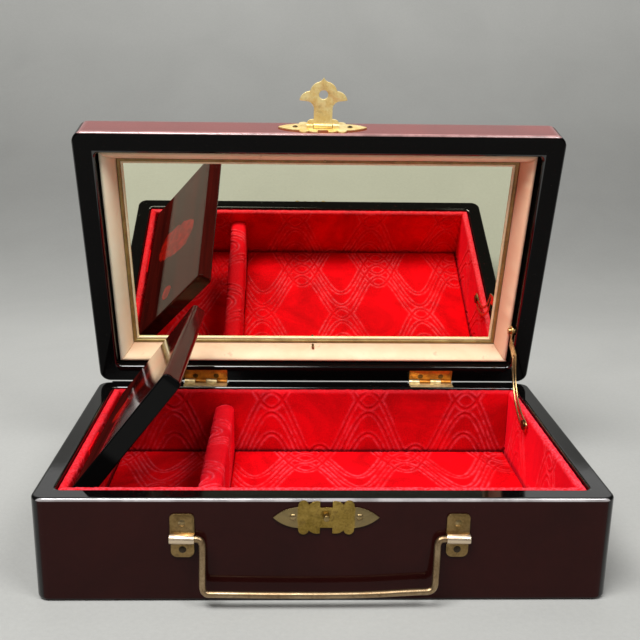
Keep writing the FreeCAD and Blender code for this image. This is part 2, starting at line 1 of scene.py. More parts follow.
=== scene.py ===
"""Looks of a small lacquered jewellery box with a mirror lid, standing open.

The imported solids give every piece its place.  This script dresses the wood, metal and
glass, and builds the velvet boards and the padded satin strips as fine surfaces.
Lengths in the classes are millimetres in the row frame; meshes are written in metres.
"""
import json
import logging
import math
from dataclasses import dataclass, field
from enum import Enum
from functools import partial, reduce
from typing import Callable, Optional, Sequence

import bmesh
import bpy
import numpy as np
from mathutils import Matrix, Vector

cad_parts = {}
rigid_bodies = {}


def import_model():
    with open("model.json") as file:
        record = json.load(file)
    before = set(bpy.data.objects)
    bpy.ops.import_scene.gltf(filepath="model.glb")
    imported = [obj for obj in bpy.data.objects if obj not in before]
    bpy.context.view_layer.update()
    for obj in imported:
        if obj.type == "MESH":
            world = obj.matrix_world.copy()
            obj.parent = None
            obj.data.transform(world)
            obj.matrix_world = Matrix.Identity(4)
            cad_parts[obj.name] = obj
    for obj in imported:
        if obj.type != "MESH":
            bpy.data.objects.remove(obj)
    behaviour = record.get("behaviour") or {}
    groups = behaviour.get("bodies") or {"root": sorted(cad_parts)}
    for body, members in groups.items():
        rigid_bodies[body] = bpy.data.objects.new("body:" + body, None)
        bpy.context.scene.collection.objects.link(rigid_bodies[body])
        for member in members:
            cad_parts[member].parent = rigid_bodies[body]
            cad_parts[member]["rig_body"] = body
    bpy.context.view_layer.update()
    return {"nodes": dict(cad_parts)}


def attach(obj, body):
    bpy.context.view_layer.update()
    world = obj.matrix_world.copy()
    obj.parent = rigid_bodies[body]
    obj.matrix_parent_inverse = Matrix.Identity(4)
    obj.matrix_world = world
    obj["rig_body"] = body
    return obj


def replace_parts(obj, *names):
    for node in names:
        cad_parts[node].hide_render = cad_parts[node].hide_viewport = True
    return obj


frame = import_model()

LOG = logging.getLogger("jewellery_box")
MM = 0.001

LID_OPEN = math.radians(74.5)
HINGE_Y = 75.0
HINGE_Z = 49.2
RIM_GAP = 0.2
ALONG_LID = np.array([0.0, -math.cos(LID_OPEN), math.sin(LID_OPEN)])
INTO_LID = np.array([0.0, math.sin(LID_OPEN), math.cos(LID_OPEN)])
X, Y, Z = np.eye(3)

Array = np.ndarray
Colour = tuple[float, float, float]
Place = tuple[float, float]
Relief = tuple[Array, dict[str, Array]]
Piece = bpy.types.Object
Socket = bpy.types.NodeSocket


class Side(Enum):
    """The four sides of a rectangular frame."""

    FRONT = "front"
    BACK = "back"
    LEFT = "left"
    RIGHT = "right"


class Region(Enum):
    """The two lacquered bodies, which are black in different places."""

    BASE = "base"
    LID = "lid"


def srgb(code: str) -> Colour:
    """Linear colour of a hex colour code.

    Args:
        code: six hex digits, such as "b00010".

    Returns:
        Red, green and blue, linear, 0 to 1.
    """
    parts = [int(code[i:i + 2], 16) / 255 for i in (0, 2, 4)]
    return tuple(c / 12.92 if c <= 0.04045 else ((c + 0.055) / 1.055) ** 2.4 for c in parts)


def lid_point(x: float, s: float, d: float) -> Array:
    """Row-frame point, in millimetres, x to the right, s from the lid's hinge edge and d from its rim."""
    return np.array([x, HINGE_Y, HINGE_Z]) + INTO_LID * (RIM_GAP + d) + ALONG_LID * s


LID_START = tuple(lid_point(0, 0, 0) * MM)


class Nodes:
    """Small helper that lays out one material's node tree."""

    def __init__(self, name: str) -> None:
        """Starts an empty node material.

        Args:
            name: the material's name.
        """
        self.material = bpy.data.materials.new(name)
        self.material.use_nodes = True
        self.tree = self.material.node_tree
        self.tree.nodes.clear()
        self.out = self.tree.nodes.new("ShaderNodeOutputMaterial")
        self.coords = self.tree.nodes.new("ShaderNodeTexCoord").outputs["Object"]

    def link(self, source: object, target: Socket) -> None:
        """Joins a socket, or sets a plain value on it.

        Args:
            source: a socket, a number or a colour.
            target: the input.
        """
        if isinstance(source, Socket):
            self.tree.links.new(source, target)
        elif target.type == "RGBA" and len(source) == 3:
            target.default_value = (*source, 1.0)
        else:
            target.default_value = source

    def add(self, kind: str, inputs: dict, out: object = 0, **props: object) -> Socket:
        """Adds a node.

        Args:
            kind: the node's type, without its common prefix.
            inputs: input name or number to a socket or a value.
            out: name or number of the output.
            props: properties set on the node first.

        Returns:
            The output.
        """
        node = self.tree.nodes.new("ShaderNode" + kind)
        for key, value in props.items():
            setattr(node, key, value)
        for key, value in inputs.items():
            self.link(value, node.inputs[key])
        return node.outputs[out]

    def mapped(self, scale: Sequence[float], turn: Sequence[float] = (0, 0, 0)) -> Socket:
        """Object coordinates, turned and stretched."""
        return self.add("Mapping", {"Vector": self.coords, "Rotation": turn, "Scale": scale})

    def noise(self, scale: float, detail: float = 4.0, rough: float = 0.6, warp: float = 0.0,
              at: Optional[Socket] = None) -> Socket:
        """Noise value, 0 to 1, at a scale per metre."""
        return self.add("TexNoise", {"Vector": at or self.coords, "Scale": scale, "Detail": detail,
                                     "Roughness": rough, "Distortion": warp})

    def point_value(self, name: str) -> Socket:
        """Value kept on the mesh's points."""
        return self.add("Attribute", {}, "Fac", attribute_name=name)

    def math(self, kind: str, a: object, b: object = 0.0) -> Socket:
        """One Math node."""
        return self.add("Math", {0: a, 1: b}, operation=kind)

    def mul(self, *parts: object) -> Socket:
        """Product of values."""
        return reduce(lambda a, b: self.math("MULTIPLY", a, b), parts)

    def plus(self, a: object, b: object) -> Socket:
        """Sum of two values."""
        return self.math("ADD", a, b)

    def less(self, a: object, b: object) -> Socket:
        """First value less the second."""
        return self.math("SUBTRACT", a, b)

    def most(self, a: object, b: object) -> Socket:
        """Larger of two values."""
        return self.math("MAXIMUM", a, b)

    def size(self, a: object) -> Socket:
        """Value without its sign."""
        return self.math("ABSOLUTE", a)

    def blend(self, a: object, b: object, share: float, rest: Optional[float] = None) -> Socket:
        """Share of one value plus the rest of another."""
        return self.plus(self.mul(a, share), self.mul(b, 1 - share if rest is None else rest))

    def step(self, value: object, low: float, high: float, to: tuple[float, float] = (0.0, 1.0)) -> Socket:
        """Smooth step of a value from low to high."""
        return self.add("MapRange", {"Value": value, "From Min": low, "From Max": high, "To Min": to[0],
                                     "To Max": to[1]}, interpolation_type="SMOOTHSTEP")

    def ramp(self, value: object, stops: Sequence[tuple[float, Colour]]) -> Socket:
        """Colour ramp over a value.

        Args:
            value: the value.
            stops: places with their colours, in rising order.

        Returns:
            The colour.
        """
        out = self.add("ValToRGB", {"Fac": value}, "Color")
        row = out.node.color_ramp.elements
        for i, (at, colour) in enumerate(stops):
            item = row[i] if i < 2 else row.new(at)
            item.position = at
            item.color = (*colour, 1.0)
        return out

    def mix(self, share: object, a: object, b: object) -> Socket:
        """Mixes two colours by a share of the second."""
        return self.add("Mix", {0: share, 6: a, 7: b}, 2, data_type="RGBA")

    def axis(self, which: int) -> Socket:
        """One object coordinate, in metres."""
        return self.add("SeparateXYZ", {"Vector": self.coords}, which)

    def along(self, direction: Sequence[float], start: Sequence[float]) -> Socket:
        """Distance in metres along a direction, counted from a point."""
        moved = self.add("VectorMath", {0: self.coords, 1: start}, operation="SUBTRACT")
        return self.add("VectorMath", {0: moved, 1: tuple(direction)}, "Value", operation="DOT_PRODUCT")

    def bump(self, height: object, distance: float, strength: float, **under: Socket) -> Socket:
        """Bump from a height, with its full rise in metres."""
        return self.add("Bump", {"Height": height, "Distance": distance, "Strength": strength, **under})

    def surface(self, **sockets: object) -> bpy.types.Material:
        """Finishes the tree with a Principled surface.

        Args:
            sockets: socket or value of each input, with underscores for spaces in its name.

        Returns:
            The material.
        """
        shader = self.add("BsdfPrincipled", {key.replace("_", " "): value for key, value in sockets.items()})
        self.link(shader, self.out.inputs["Surface"])
        return self.material


@dataclass(frozen=True)
class Lacquer:
    """Deep clear lacquer over dark stained wood, black where a mask says so.  Masks are in metres."""

    name: str
    region: Region
    body: Colour
    glow: Colour
    shine: tuple[float, float]
    # pale colour of the painted highlight along the front outer edge
    edge: Colour
    black: Colour = srgb("070606")
    dust: Colour = srgb("8c8078")
    face_x: float = 0.1246
    face_y: float = 0.0746
    turn_x: float = 0.1240
    turn_y: float = 0.0740

    def black_share(self, n: Nodes) -> Socket:
        """Share of black at each point: rims and inner faces, not the outer faces.

        Args:
            n: the node tree.

        Returns:
            The share.
        """
        side = n.less(n.size(n.axis(0)), self.face_x)
        if self.region is Region.BASE:
            ends = n.less(n.size(n.axis(1)), self.face_y)
            outer = n.step(n.most(side, ends), -0.0004, 0.0002)
            return n.less(1.0, n.mul(outer, n.step(n.axis(2), 0.0479, 0.0485, (1.0, 0.0))))
        s, d = n.along(ALONG_LID, LID_START), n.along(INTO_LID, LID_START)
        ends = n.most(n.less(s, 0.1496), n.less(0.0004, s))
        outer = n.most(n.step(n.most(side, ends), -0.0004, 0.0002), n.step(d, 0.0192, 0.0196))
        return n.less(1.0, n.mul(outer, n.step(d, 0.0007, 0.0014)))

    def edge_share(self, n: Nodes) -> tuple[Socket, Socket]:
        """Shares of polish and of a painted highlight on the thin rounded edges.

        Args:
            n: the node tree.

        Returns:
            The polished share, on all outer and inner edges of the rim, and the share of painted
            highlight, on the outer edge that lies in front.
        """
        side = n.less(n.size(n.axis(0)), self.turn_x)
        if self.region is Region.BASE:
            y, z = n.axis(1), n.axis(2)
            reach, inset = n.size(y), 0.0077
            outer = n.most(side, n.less(reach, self.turn_y))
            turn, top = n.step(z, 0.0474, 0.0479), n.step(z, 0.0483, 0.0486)
            front = n.step(y, -0.0742, -0.0738, (1.0, 0.0))
        else:
            y, d = n.less(n.along(ALONG_LID, LID_START), 0.075), n.along(INTO_LID, LID_START)
            reach, inset = n.size(y), 0.0090
            outer = n.most(side, n.less(y, self.turn_y))
            turn, top = n.step(d, 0.0014, 0.0018, (1.0, 0.0)), n.step(d, 0.0006, 0.0010, (1.0, 0.0))
            front = n.step(y, 0.0738, 0.0742)
        outer = n.mul(n.step(outer, 0.0, 0.0004), turn)
        inner = n.most(n.plus(side, inset), n.less(reach, self.turn_y - inset))
        inner = n.mul(n.step(inner, 0.0, 0.0004, (1.0, 0.0)), top)
        return n.most(outer, inner), n.mul(outer, front)

    def material(self) -> bpy.types.Material:
        """Builds the node material.

        Returns:
            The material.
        """
        n = Nodes(self.name)
        cloud = n.blend(n.noise(18.0, 5.0, warp=0.6), n.noise(240.0, 3.0, 0.5), 0.8)
        share = self.black_share(n)
        colour = n.mix(share, n.ramp(cloud, [(0.25, self.body), (0.75, self.glow)]), self.black)
        dust = n.step(n.noise(2600.0, 1.0, 0.4), 0.74, 0.80, (0.0, 0.18))
        colour = n.mix(dust, colour, self.dust)
        scratch = n.noise(1.0, 3.0, 0.5, at=n.mapped((35.0, 900.0, 900.0), (0.2, 0.1, 0.4)))
        height = n.blend(n.noise(420.0, 2.0, 0.4), scratch, 0.5, 0.12)
        edge, painted_highlight = self.edge_share(n)
        # painted highlight: the front outer edge of the rim is mixed towards the pale edge colour, in patches
        colour = n.mix(n.mul(painted_highlight, n.step(n.noise(70.0), 0.35, 0.6, (0.30, 0.52))), colour, self.edge)
        return n.surface(Base_Color=colour, Roughness=n.step(n.noise(55.0), 0.3, 0.8, (0.04, 0.10)), IOR=1.5,
                         Specular_IOR_Level=n.most(n.step(share, 0.0, 1.0, self.shine), edge),
                         Normal=n.bump(height, 0.00003, 0.4))


@dataclass(frozen=True)
class FlapLacquer:
    """Lacquer of the flap: black front edge, red-brown faces and plain painted petals.

    A petal is the area where |a|^n + |b|^n < 1, with a and b counted along two slanting
    half-axes on the flap's upper face.
    """

    name: str
    body: Colour
    glow: Colour
    paint: Colour
    black: Colour = (0.002, 0.002, 0.002)
    pivot: tuple[float, float] = (-105.9, 44.8)
    angle: float = math.radians(51.6)
    front: float = -60.9
    power: float = 1.6

    def petal(self, n: Nodes, reach: Socket, y: Socket, centre: tuple[float, float],
              first: tuple[float, float], second: tuple[float, float]) -> Socket:
        """Share of paint of one petal.

        Args:
            n: the node tree.
            reach: distance from the hinge, in metres.
            y: distance along the flap, in metres.
            centre: the petal's middle, in millimetres.
            first: its first half-axis.
            second: its second half-axis.

        Returns:
            The share.
        """
        r, q = n.less(reach, centre[0] * MM), n.less(y, centre[1] * MM)
        area = (first[0] * second[1] - first[1] * second[0]) * MM
        a = n.less(n.mul(r, second[1] / area), n.mul(q, second[0] / area))
        b = n.less(n.mul(q, first[0] / area), n.mul(r, first[1] / area))
        body = n.plus(*(n.math("POWER", n.size(v), self.power) for v in (a, b)))
        wave = n.mul(n.less(n.noise(130.0, 3.0), 0.5), 0.7)
        return n.step(n.plus(body, wave), 0.84, 1.0, (1.0, 0.0))

    def material(self) -> bpy.types.Material:
        """Builds the node material.

        Returns:
            The material.
        """
        n = Nodes(self.name)
        start = (self.pivot[0] * MM, 0.0, self.pivot[1] * MM)
        reach = n.along((math.cos(self.angle), 0, math.sin(self.angle)), start)
        rise = n.along((-math.sin(self.angle), 0, math.cos(self.angle)), start)
        y = n.axis(1)
        streak = n.noise(1.0, at=n.mapped((160.0, 9.0, 160.0)))
        large = self.petal(n, reach, y, (31.5, -3.0), (19.5, -4.0), (12.5, 16.5))
        small = self.petal(n, reach, y, (28.5, 44.0), (5.0, -1.0), (1.0, 6.0))
        painted = n.mul(n.most(large, small), n.step(rise, 0.0030, 0.0038),
                        n.step(n.noise(210.0, 4.0, 0.65), 0.3, 0.7, (0.35, 0.95)))
        colour = n.mix(painted, n.ramp(streak, [(0.25, self.body), (0.8, self.glow)]), self.paint)
        edge = n.step(y, (self.front + 0.5) * MM, (self.front + 1.0) * MM, (1.0, 0.0))
        lit = n.mul(n.step(reach, 0.0190, 0.0240), n.step(reach, 0.0635, 0.0655, (1.0, 0.35)),
                    n.step(edge, 0.0, 1.0, (0.15, 0.12)))
        return n.surface(Base_Color=n.mix(edge, colour, self.black), Specular_IOR_Level=lit,
                         Roughness=n.step(n.noise(60.0), 0.3, 0.8, (0.05, 0.10)),
                         Normal=n.bump(n.noise(380.0, 2.0, 0.4), 0.00002, 0.3))


@dataclass(frozen=True)
class Brass:
    """Stamped or drawn brass with tarnished spots, fine scratches and dull patches, painted shade
    below a set height and a painted highlight on its proud front.
    """

    name: str
    bright: Colour
    dull: Colour
    tarnish_and_shade: Colour
    rough: tuple[float, float]
    wear: float = 0.5
    # height in metres below which the brass gets painted shade
    dark_below: float = -1.0
    metal: float = 1.0
    patches: float = 160.0
    proud: float = -1.0
    tips: Optional[tuple[float, float, Colour]] = None
    # pale colour of the painted highlight on parts in front of proud
    proud_highlight: Colour = srgb("f2dcc0")
    grain: tuple[float, float, float] = (90.0, 1600.0, 1600.0)

    def material(self) -> bpy.types.Material:
        """Builds the node material.

        Returns:
            The material.
        """
        n = Nodes(self.name)
        spots = n.noise(900.0, 3.0)
        tone = n.blend(n.noise(self.patches, 5.0, warp=0.4), spots, 0.7)
        colour = n.ramp(tone, [(0.36, self.dull), (0.60, self.bright)])
        dark = n.mul(n.step(n.noise(330.0, 5.0, 0.7, 0.8), 0.50, 0.68), self.wear)
        # painted shade: parts below dark_below, the lower nails of the handle brackets in their recess, are
        # mixed almost fully to the darkest colour
        dark = n.most(dark, n.step(n.axis(2), self.dark_below - 0.001, self.dark_below, (0.92, 0.0)))
        colour = n.mix(dark, colour, self.tarnish_and_shade)
        if self.tips:
            middle, reach, tone_there = self.tips
            away = n.plus(n.size(n.less(n.axis(0), middle * MM)), n.mul(n.noise(300.0, 2.0, 0.5), 0.0008))
            colour = n.mix(n.step(away, reach * MM, (reach + 0.8) * MM, (0.0, 0.75)), colour, tone_there)
        # painted highlight: parts in front of proud, the rolled barrels of the handle brackets, are mixed
        # towards a pale colour
        colour = n.mix(n.step(n.axis(1), self.proud - 0.0005, self.proud, (0.85, 0.0)), colour, self.proud_highlight)
        rough = n.plus(n.step(tone, 0.3, 0.7, (self.rough[1], self.rough[0])), n.mul(dark, 0.2))
        lines = n.noise(1.0, 2.0, 0.5, at=n.mapped(self.grain, (0.05, 0.1, 0.0)))
        return n.surface(Base_Color=colour, Metallic=n.step(dark, 0.0, 1.0, (self.metal, 0.6 * self.metal)),
                         Roughness=rough, Normal=n.bump(n.blend(lines, spots, 0.5), 0.00004, 0.6))


@dataclass(frozen=True)
class Steel:
    """Plain drawn steel of the small hinge pins."""

    name: str
    bright: Colour
    dull: Colour

    def material(self) -> bpy.types.Material:
        """Builds the node material.

        Returns:
            The material.
        """
        n = Nodes(self.name)
        patch = n.noise(300.0, 5.0)
        lines = n.noise(1.0, 2.0, 0.5, at=n.mapped((60.0, 2400.0, 2400.0)))
        return n.surface(Base_Color=n.ramp(patch, [(0.35, self.dull), (0.65, self.bright)]), Metallic=1.0,
                         Roughness=n.step(patch, 0.3, 0.7, (0.45, 0.3)), Normal=n.bump(lines, 0.00003, 0.5))


@dataclass(frozen=True)
class Velvet:
    """Short-pile velvet, with painted shade in its grooves, painted sheen on their raised edges and cut
    tops, and a painted shadow along the foot of the walls.
    """

    name: str
    deep: Colour
    pile: Colour
    # colour of the painted sheen on raised edges and cut tops
    ridge: Colour
    sheen: Colour = srgb("ff1226")
    nap: float = 0.22
    # colour of the painted shadow along the foot of the walls
    seam_shadow: Colour = srgb("3a0004")

    def material(self) -> bpy.types.Material:
        """Builds the node material.

        Returns:
            The material.
        """
        n = Nodes(self.name)
        fibre = n.noise(2300.0, 3.0, 0.75)
        tone = n.blend(n.noise(28.0, warp=1.0), fibre, 0.5)
        groove, ridge, tuft_sheen, shade = (n.point_value(k) for k in ("groove", "ridge", "tuft_sheen", "shade"))
        broken = n.step(n.noise(380.0, 4.0, 0.65), 0.38, 0.62, (0.2, 1.0))
        faint = n.step(n.noise(40.0, 2.0, 0.5), 0.35, 0.6, (0.35, 1.0))
        cut = n.step(n.noise(900.0, 4.0, 0.7), 0.35, 0.65, (0.05, 0.55))
        colour = n.ramp(tone, [(0.40, self.deep), (0.60, self.pile)])
        # painted light: shade in the grooves, sheen on their raised edges and on the cut tops, a shadow along
        # the foot of the walls
        for share, over in ((n.mul(groove, 0.18), self.deep), (n.mul(ridge, broken, faint, 0.50), self.ridge),
                            (n.mul(tuft_sheen, cut), self.ridge), (n.mul(shade, 0.9), self.seam_shadow)):
            colour = n.mix(share, colour, over)
        return n.surface(Base_Color=colour, Roughness=0.9, Specular_IOR_Level=0.08, Sheen_Weight=self.nap,
                         Sheen_Roughness=0.4, Sheen_Tint=self.sheen, Normal=n.bump(fibre, 0.0004, 0.6))


@dataclass(frozen=True)
class Satin:
    """Cream cloth strip, darker along its edge next to the mirror as painted shade where it curves down,
    with stains in random spots.
    """

    name: str
    light: Colour
    dark: Colour
    stain_and_shade: Colour

    def material(self) -> bpy.types.Material:
        """Builds the node material.

        Returns:
            The material.
        """
        n = Nodes(self.name)
        colour = n.ramp(n.noise(45.0, 5.0, warp=0.6), [(0.3, self.light), (0.75, self.dark)])
        # painted shade along the edge next to the mirror; the line after puts stains in random spots
        colour = n.mix(n.step(n.point_value("inward"), 0.35, 1.0, (0.0, 0.45)), colour, self.stain_and_shade)
        colour = n.mix(n.step(n.noise(150.0, 5.0, 0.7), 0.62, 0.72, (0.0, 0.3)), colour, self.stain_and_shade)
        waves = {"Vector": n.coords, "Scale": 900.0, "Distortion": 0.6, "Detail": 1.0}
        threads = [n.add("TexWave", waves, "Fac", wave_type="BANDS", bands_direction=way) for way in "XZ"]
        weave = n.blend(*threads, 0.5)
        creases = n.bump(n.noise(320.0, 3.0, 0.55), 0.00025, 0.5)
        return n.surface(Base_Color=colour, Roughness=0.62, Specular_IOR_Level=0.25, Sheen_Weight=0.25,
                         Sheen_Roughness=0.4, Normal=n.bump(weave, 0.00006, 0.5, Normal=creases))


@dataclass(frozen=True)
class Silvering:
    """Old mirror with a trace of dust."""

    name: str
    tone: Colour

    def material(self) -> bpy.types.Material:
        """Builds the node material.

        Returns:
            The material.
        """
        n = Nodes(self.name)
        haze = n.noise(60.0)
        specks = n.step(n.noise(2400.0, 1.0, 0.3), 0.78, 0.82, (0.0, 0.2))
        colour = n.ramp(haze, [(0.2, self.tone), (0.9, tuple(c * 1.04 for c in self.tone))])
        return n.surface(Base_Color=colour, Metallic=1.0,
                         Roughness=n.plus(n.step(haze, 0.4, 0.9, (0.0, 0.012)), specks))


@dataclass(frozen=True)
class PaintedBoard:
    """Plain painted or gilt board of the small trims."""

    name: str
    light: Colour
    dark: Colour
    rough: float
    metal: float = 0.0

    def material(self) -> bpy.types.Material:
        """Builds the node material.

        Returns:
            The material.
        """
        n = Nodes(self.name)
        colour = n.ramp(n.noise(140.0, 5.0, 0.65, 0.5), [(0.3, self.dark), (0.65, self.light)])
        return n.surface(Base_Color=colour, Metallic=self.metal, Roughness=self.rough,
                         Normal=n.bump(n.noise(900.0, 3.0), 0.00005, 0.5))


@dataclass
class FinishRack:
    """All the finishes, built once each."""

    made: dict[str, bpy.types.Material] = field(default_factory=dict)

    def __post_init__(self) -> None:
        """Builds every material."""
        for finish in (
            Lacquer("base_lacquer", Region.BASE, srgb("210a09"), srgb("2e0f0d"), (0.12, 0.36),
                    srgb("e8e2e2")),
            Lacquer("lid_lacquer", Region.LID, srgb("601812"), srgb("78221a"), (0.29, 0.08), srgb("e8b4b0")),
            FlapLacquer("flap_lacquer", srgb("260807"), srgb("52120f"), srgb("a0160f")),
            Brass("hasp_gilt", srgb("fbe6a4"), srgb("e8c472"), srgb("a8843c"), (0.34, 0.5), 0.3, metal=0.6),
            Brass("aged_brass", srgb("b4954e"), srgb("80682c"), srgb("4a3218"), (0.26, 0.42), 0.4,
                  patches=70.0, tips=(0.6, 12.2, srgb("8a7a5c"))),
            Brass("bracket_brass", srgb("a08458"), srgb("786038"), srgb("3c2814"), (0.26, 0.44), 0.4,
                  patches=80.0, proud=-0.0768),
            Brass("nail_brass", srgb("b09870"), srgb("8a7448"), srgb("2c2014"), (0.24, 0.40), 0.6, 0.030),
            Brass("nail_dark", srgb("6a5030"), srgb("3c2c18"), srgb("1c140c"), (0.4, 0.5), 0.6),
            Brass("bail_brass", srgb("b49c7a"), srgb("84694a"), srgb("4c3824"), (0.28, 0.44), 0.35,
                  patches=50.0),
            Brass("hinge_amber", srgb("b87628"), srgb("8a5218"), srgb("3c1f08"), (0.32, 0.5), 0.4, metal=0.8),
            Brass("hinge_pale", srgb("efdcaa"), srgb("c0a468"), srgb("5e4420"), (0.32, 0.5), 0.45, metal=0.7),
            Brass("stay_brass", srgb("dcb880"), srgb("a07c48"), srgb("4a2c12"), (0.24, 0.40)),
            Steel("pin_steel", srgb("a8a29a"), srgb("6c665e")),
            Velvet("red_velvet", srgb("b80008"), srgb("ff0012"), srgb("ff6474")),
            # shaded and lit copies of the red velvet: painted light
            Velvet("shaded_back_velvet", srgb("9c0006"), srgb("d8000e"), srgb("f04c5c")),
            Velvet("lit_velvet", srgb("e0000e"), srgb("ff061c"), srgb("ff6e80"), srgb("ff1c38"), 0.55),
            Satin("cream_satin", srgb("fbe4c0"), srgb("eecaa0"), srgb("b3775a")),
            # shaded and lit copies of the cream satin, for the right and left strips: painted light
            Satin("shaded_right_satin", srgb("ffe0bc"), srgb("fcc8a0"), srgb("e08a68")),
            Satin("lit_left_satin", srgb("fffadc"), srgb("fff0cc"), srgb("f0cc9c")),
            Silvering("mirror_silvering", srgb("e6e6cc")),
            PaintedBoard("gold_fillet", srgb("a08c52"), srgb("7a6436"), 0.4, 0.35),
            PaintedBoard("cream_lip", srgb("fff4cc"), srgb("f4e0b0"), 0.45),
            PaintedBoard("underside_board", srgb("2c1612"), srgb("1c0d0b"), 0.55),
        ):
            self.made[finish.name] = finish.material()

    def dress(self, obj: Piece, name: str) -> None:
        """Gives an object one finish in every material slot.

        Args:
            obj: the object.
            name: the finish's name.
        """
        slots = obj.data.materials
        if not len(slots):
            slots.append(self.made[name])
        for i in range(len(slots)):
            slots[i] = self.made[name]

    def dress_nodes(self, name: str, *nodes: str) -> None:
        """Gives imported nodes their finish.

        Args:
            name: the finish's name.
            nodes: the nodes' names.
        """
        for node in nodes:
            self.dress(frame["nodes"][node], name)
            LOG.info("dressed %s in %s", node, name)


def add_object(name: str, data: bpy.types.ID) -> Piece:
    """Adds an object to the scene.

    Args:
        name: its name.
        data: its mesh, curve, lamp or camera.

    Returns:
        The object.
    """
    obj = bpy.data.objects.new(name, data)
    bpy.context.scene.collection.objects.link(obj)
    return obj


def grid_quads(rows: int, cols: int, wrap: bool) -> Array:
    """Quads of a grid of points, numbered row after row.

    Args:
        rows: number of rows.
        cols: number of points in a row.
        wrap: whether each row is a closed ring.

    Returns:
        Four point numbers for each quad.
    """
    r = np.arange(rows - 1)[:, None]
    c = np.arange(cols if wrap else cols - 1)[None, :]
    d = (c + 1) % cols
    return np.stack([r * cols + c, r * cols + d, (r + 1) * cols + d, (r + 1) * cols + c], -1).reshape(-1, 4)


@dataclass
class Surface:
    """A closed mesh in the making: points in millimetres, faces and point values."""

    points: Array
    faces: list[Sequence[int]]
    quads: Array
    values: dict[str, Array] = field(default_factory=dict)

    def build(self, name: str, body: str, slot: str) -> Piece:
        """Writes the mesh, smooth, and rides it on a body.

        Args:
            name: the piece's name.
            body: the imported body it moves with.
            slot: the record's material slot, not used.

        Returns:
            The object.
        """
        mesh = bpy.data.meshes.new(name)
        mesh.from_pydata((self.points * MM).tolist(), [], [*self.quads.tolist(), *self.faces])
        mesh.shade_smooth()
        mesh.validate()
        for key, value in self.values.items():
            attribute = mesh.attributes.new(key, "FLOAT", "POINT")
            attribute.data.foreach_set("value", value.astype(np.float32).ravel())
        if self.volume(mesh) < 0:
            mesh.flip_normals()
        obj = add_object(name, mesh)
        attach(obj, body)
        LOG.info("built %s: %d points", name, len(self.points))
        return obj

    def volume(self, mesh: bpy.types.Mesh) -> float:
        """Six times the volume inside the mesh, negative where its faces look inward.

        Args:
            mesh: the mesh of these points.

        Returns:
            The sum over its triangles of a . (b x c).
        """
        mesh.calc_loop_triangles()
        tris = np.zeros(len(mesh.loop_triangles) * 3, dtype=np.int32)
        mesh.loop_triangles.foreach_get("vertices", tris)
        p = self.points[tris.reshape(-1, 3)]
        return np.einsum("ij,ij->i", p[:, 0], np.cross(p[:, 1], p[:, 2])).sum()


@dataclass(frozen=True)
class WavePattern:
    """Pressed pattern of the velvet: crossing waves that leave rings where they meet.

    Three parallel strands hang down from each knot, b = b0 + ring - step k - rise
    (1 - cos(2 pi (a - a0) / width)) for k = 0, 1, 2, and three more stand up from it the
    other way round.  All of it repeats every width sideways and every pitch lengthways.
    """

    width: float = 56.0
    pitch: float = 91.0
    rise: float = 21.25
    ring: float = 4.9
    step: float = 12.7
    groove: float = 0.75
    edge: float = 1.35
    edge_width: float = 0.62

    def pressed(self, a: Array, b: Array, knot: Place) -> tuple[Array, Array]:
        """Groove and bright edge of the strands, from the distance to the nearest one, to first order.

        Args:
            a: sideways places on the surface.
            b: lengthways places on the surface.
            knot: sideways and lengthways place of one knot.

        Returns:
            Two values 0 to 1 at each point: in the groove, and on its raised edges.
        """
        turn = 2 * math.pi * (a - knot[0]) / self.width
        wave = self.rise * (1 - np.cos(turn))
        steep = np.sqrt(1 + (self.rise * 2 * math.pi / self.width * np.sin(turn)) ** 2)
        offs = [b - knot[1] - way * (self.ring - self.step * k - wave) for k in range(3) for way in (1, -1)]
        half = self.pitch / 2
        gap = np.min([np.abs((off + half) % self.pitch - half) for off in offs], axis=0) / steep
        return np.exp(-(gap / self.groove) ** 2), np.exp(-((gap - self.edge) / self.edge_width) ** 2)


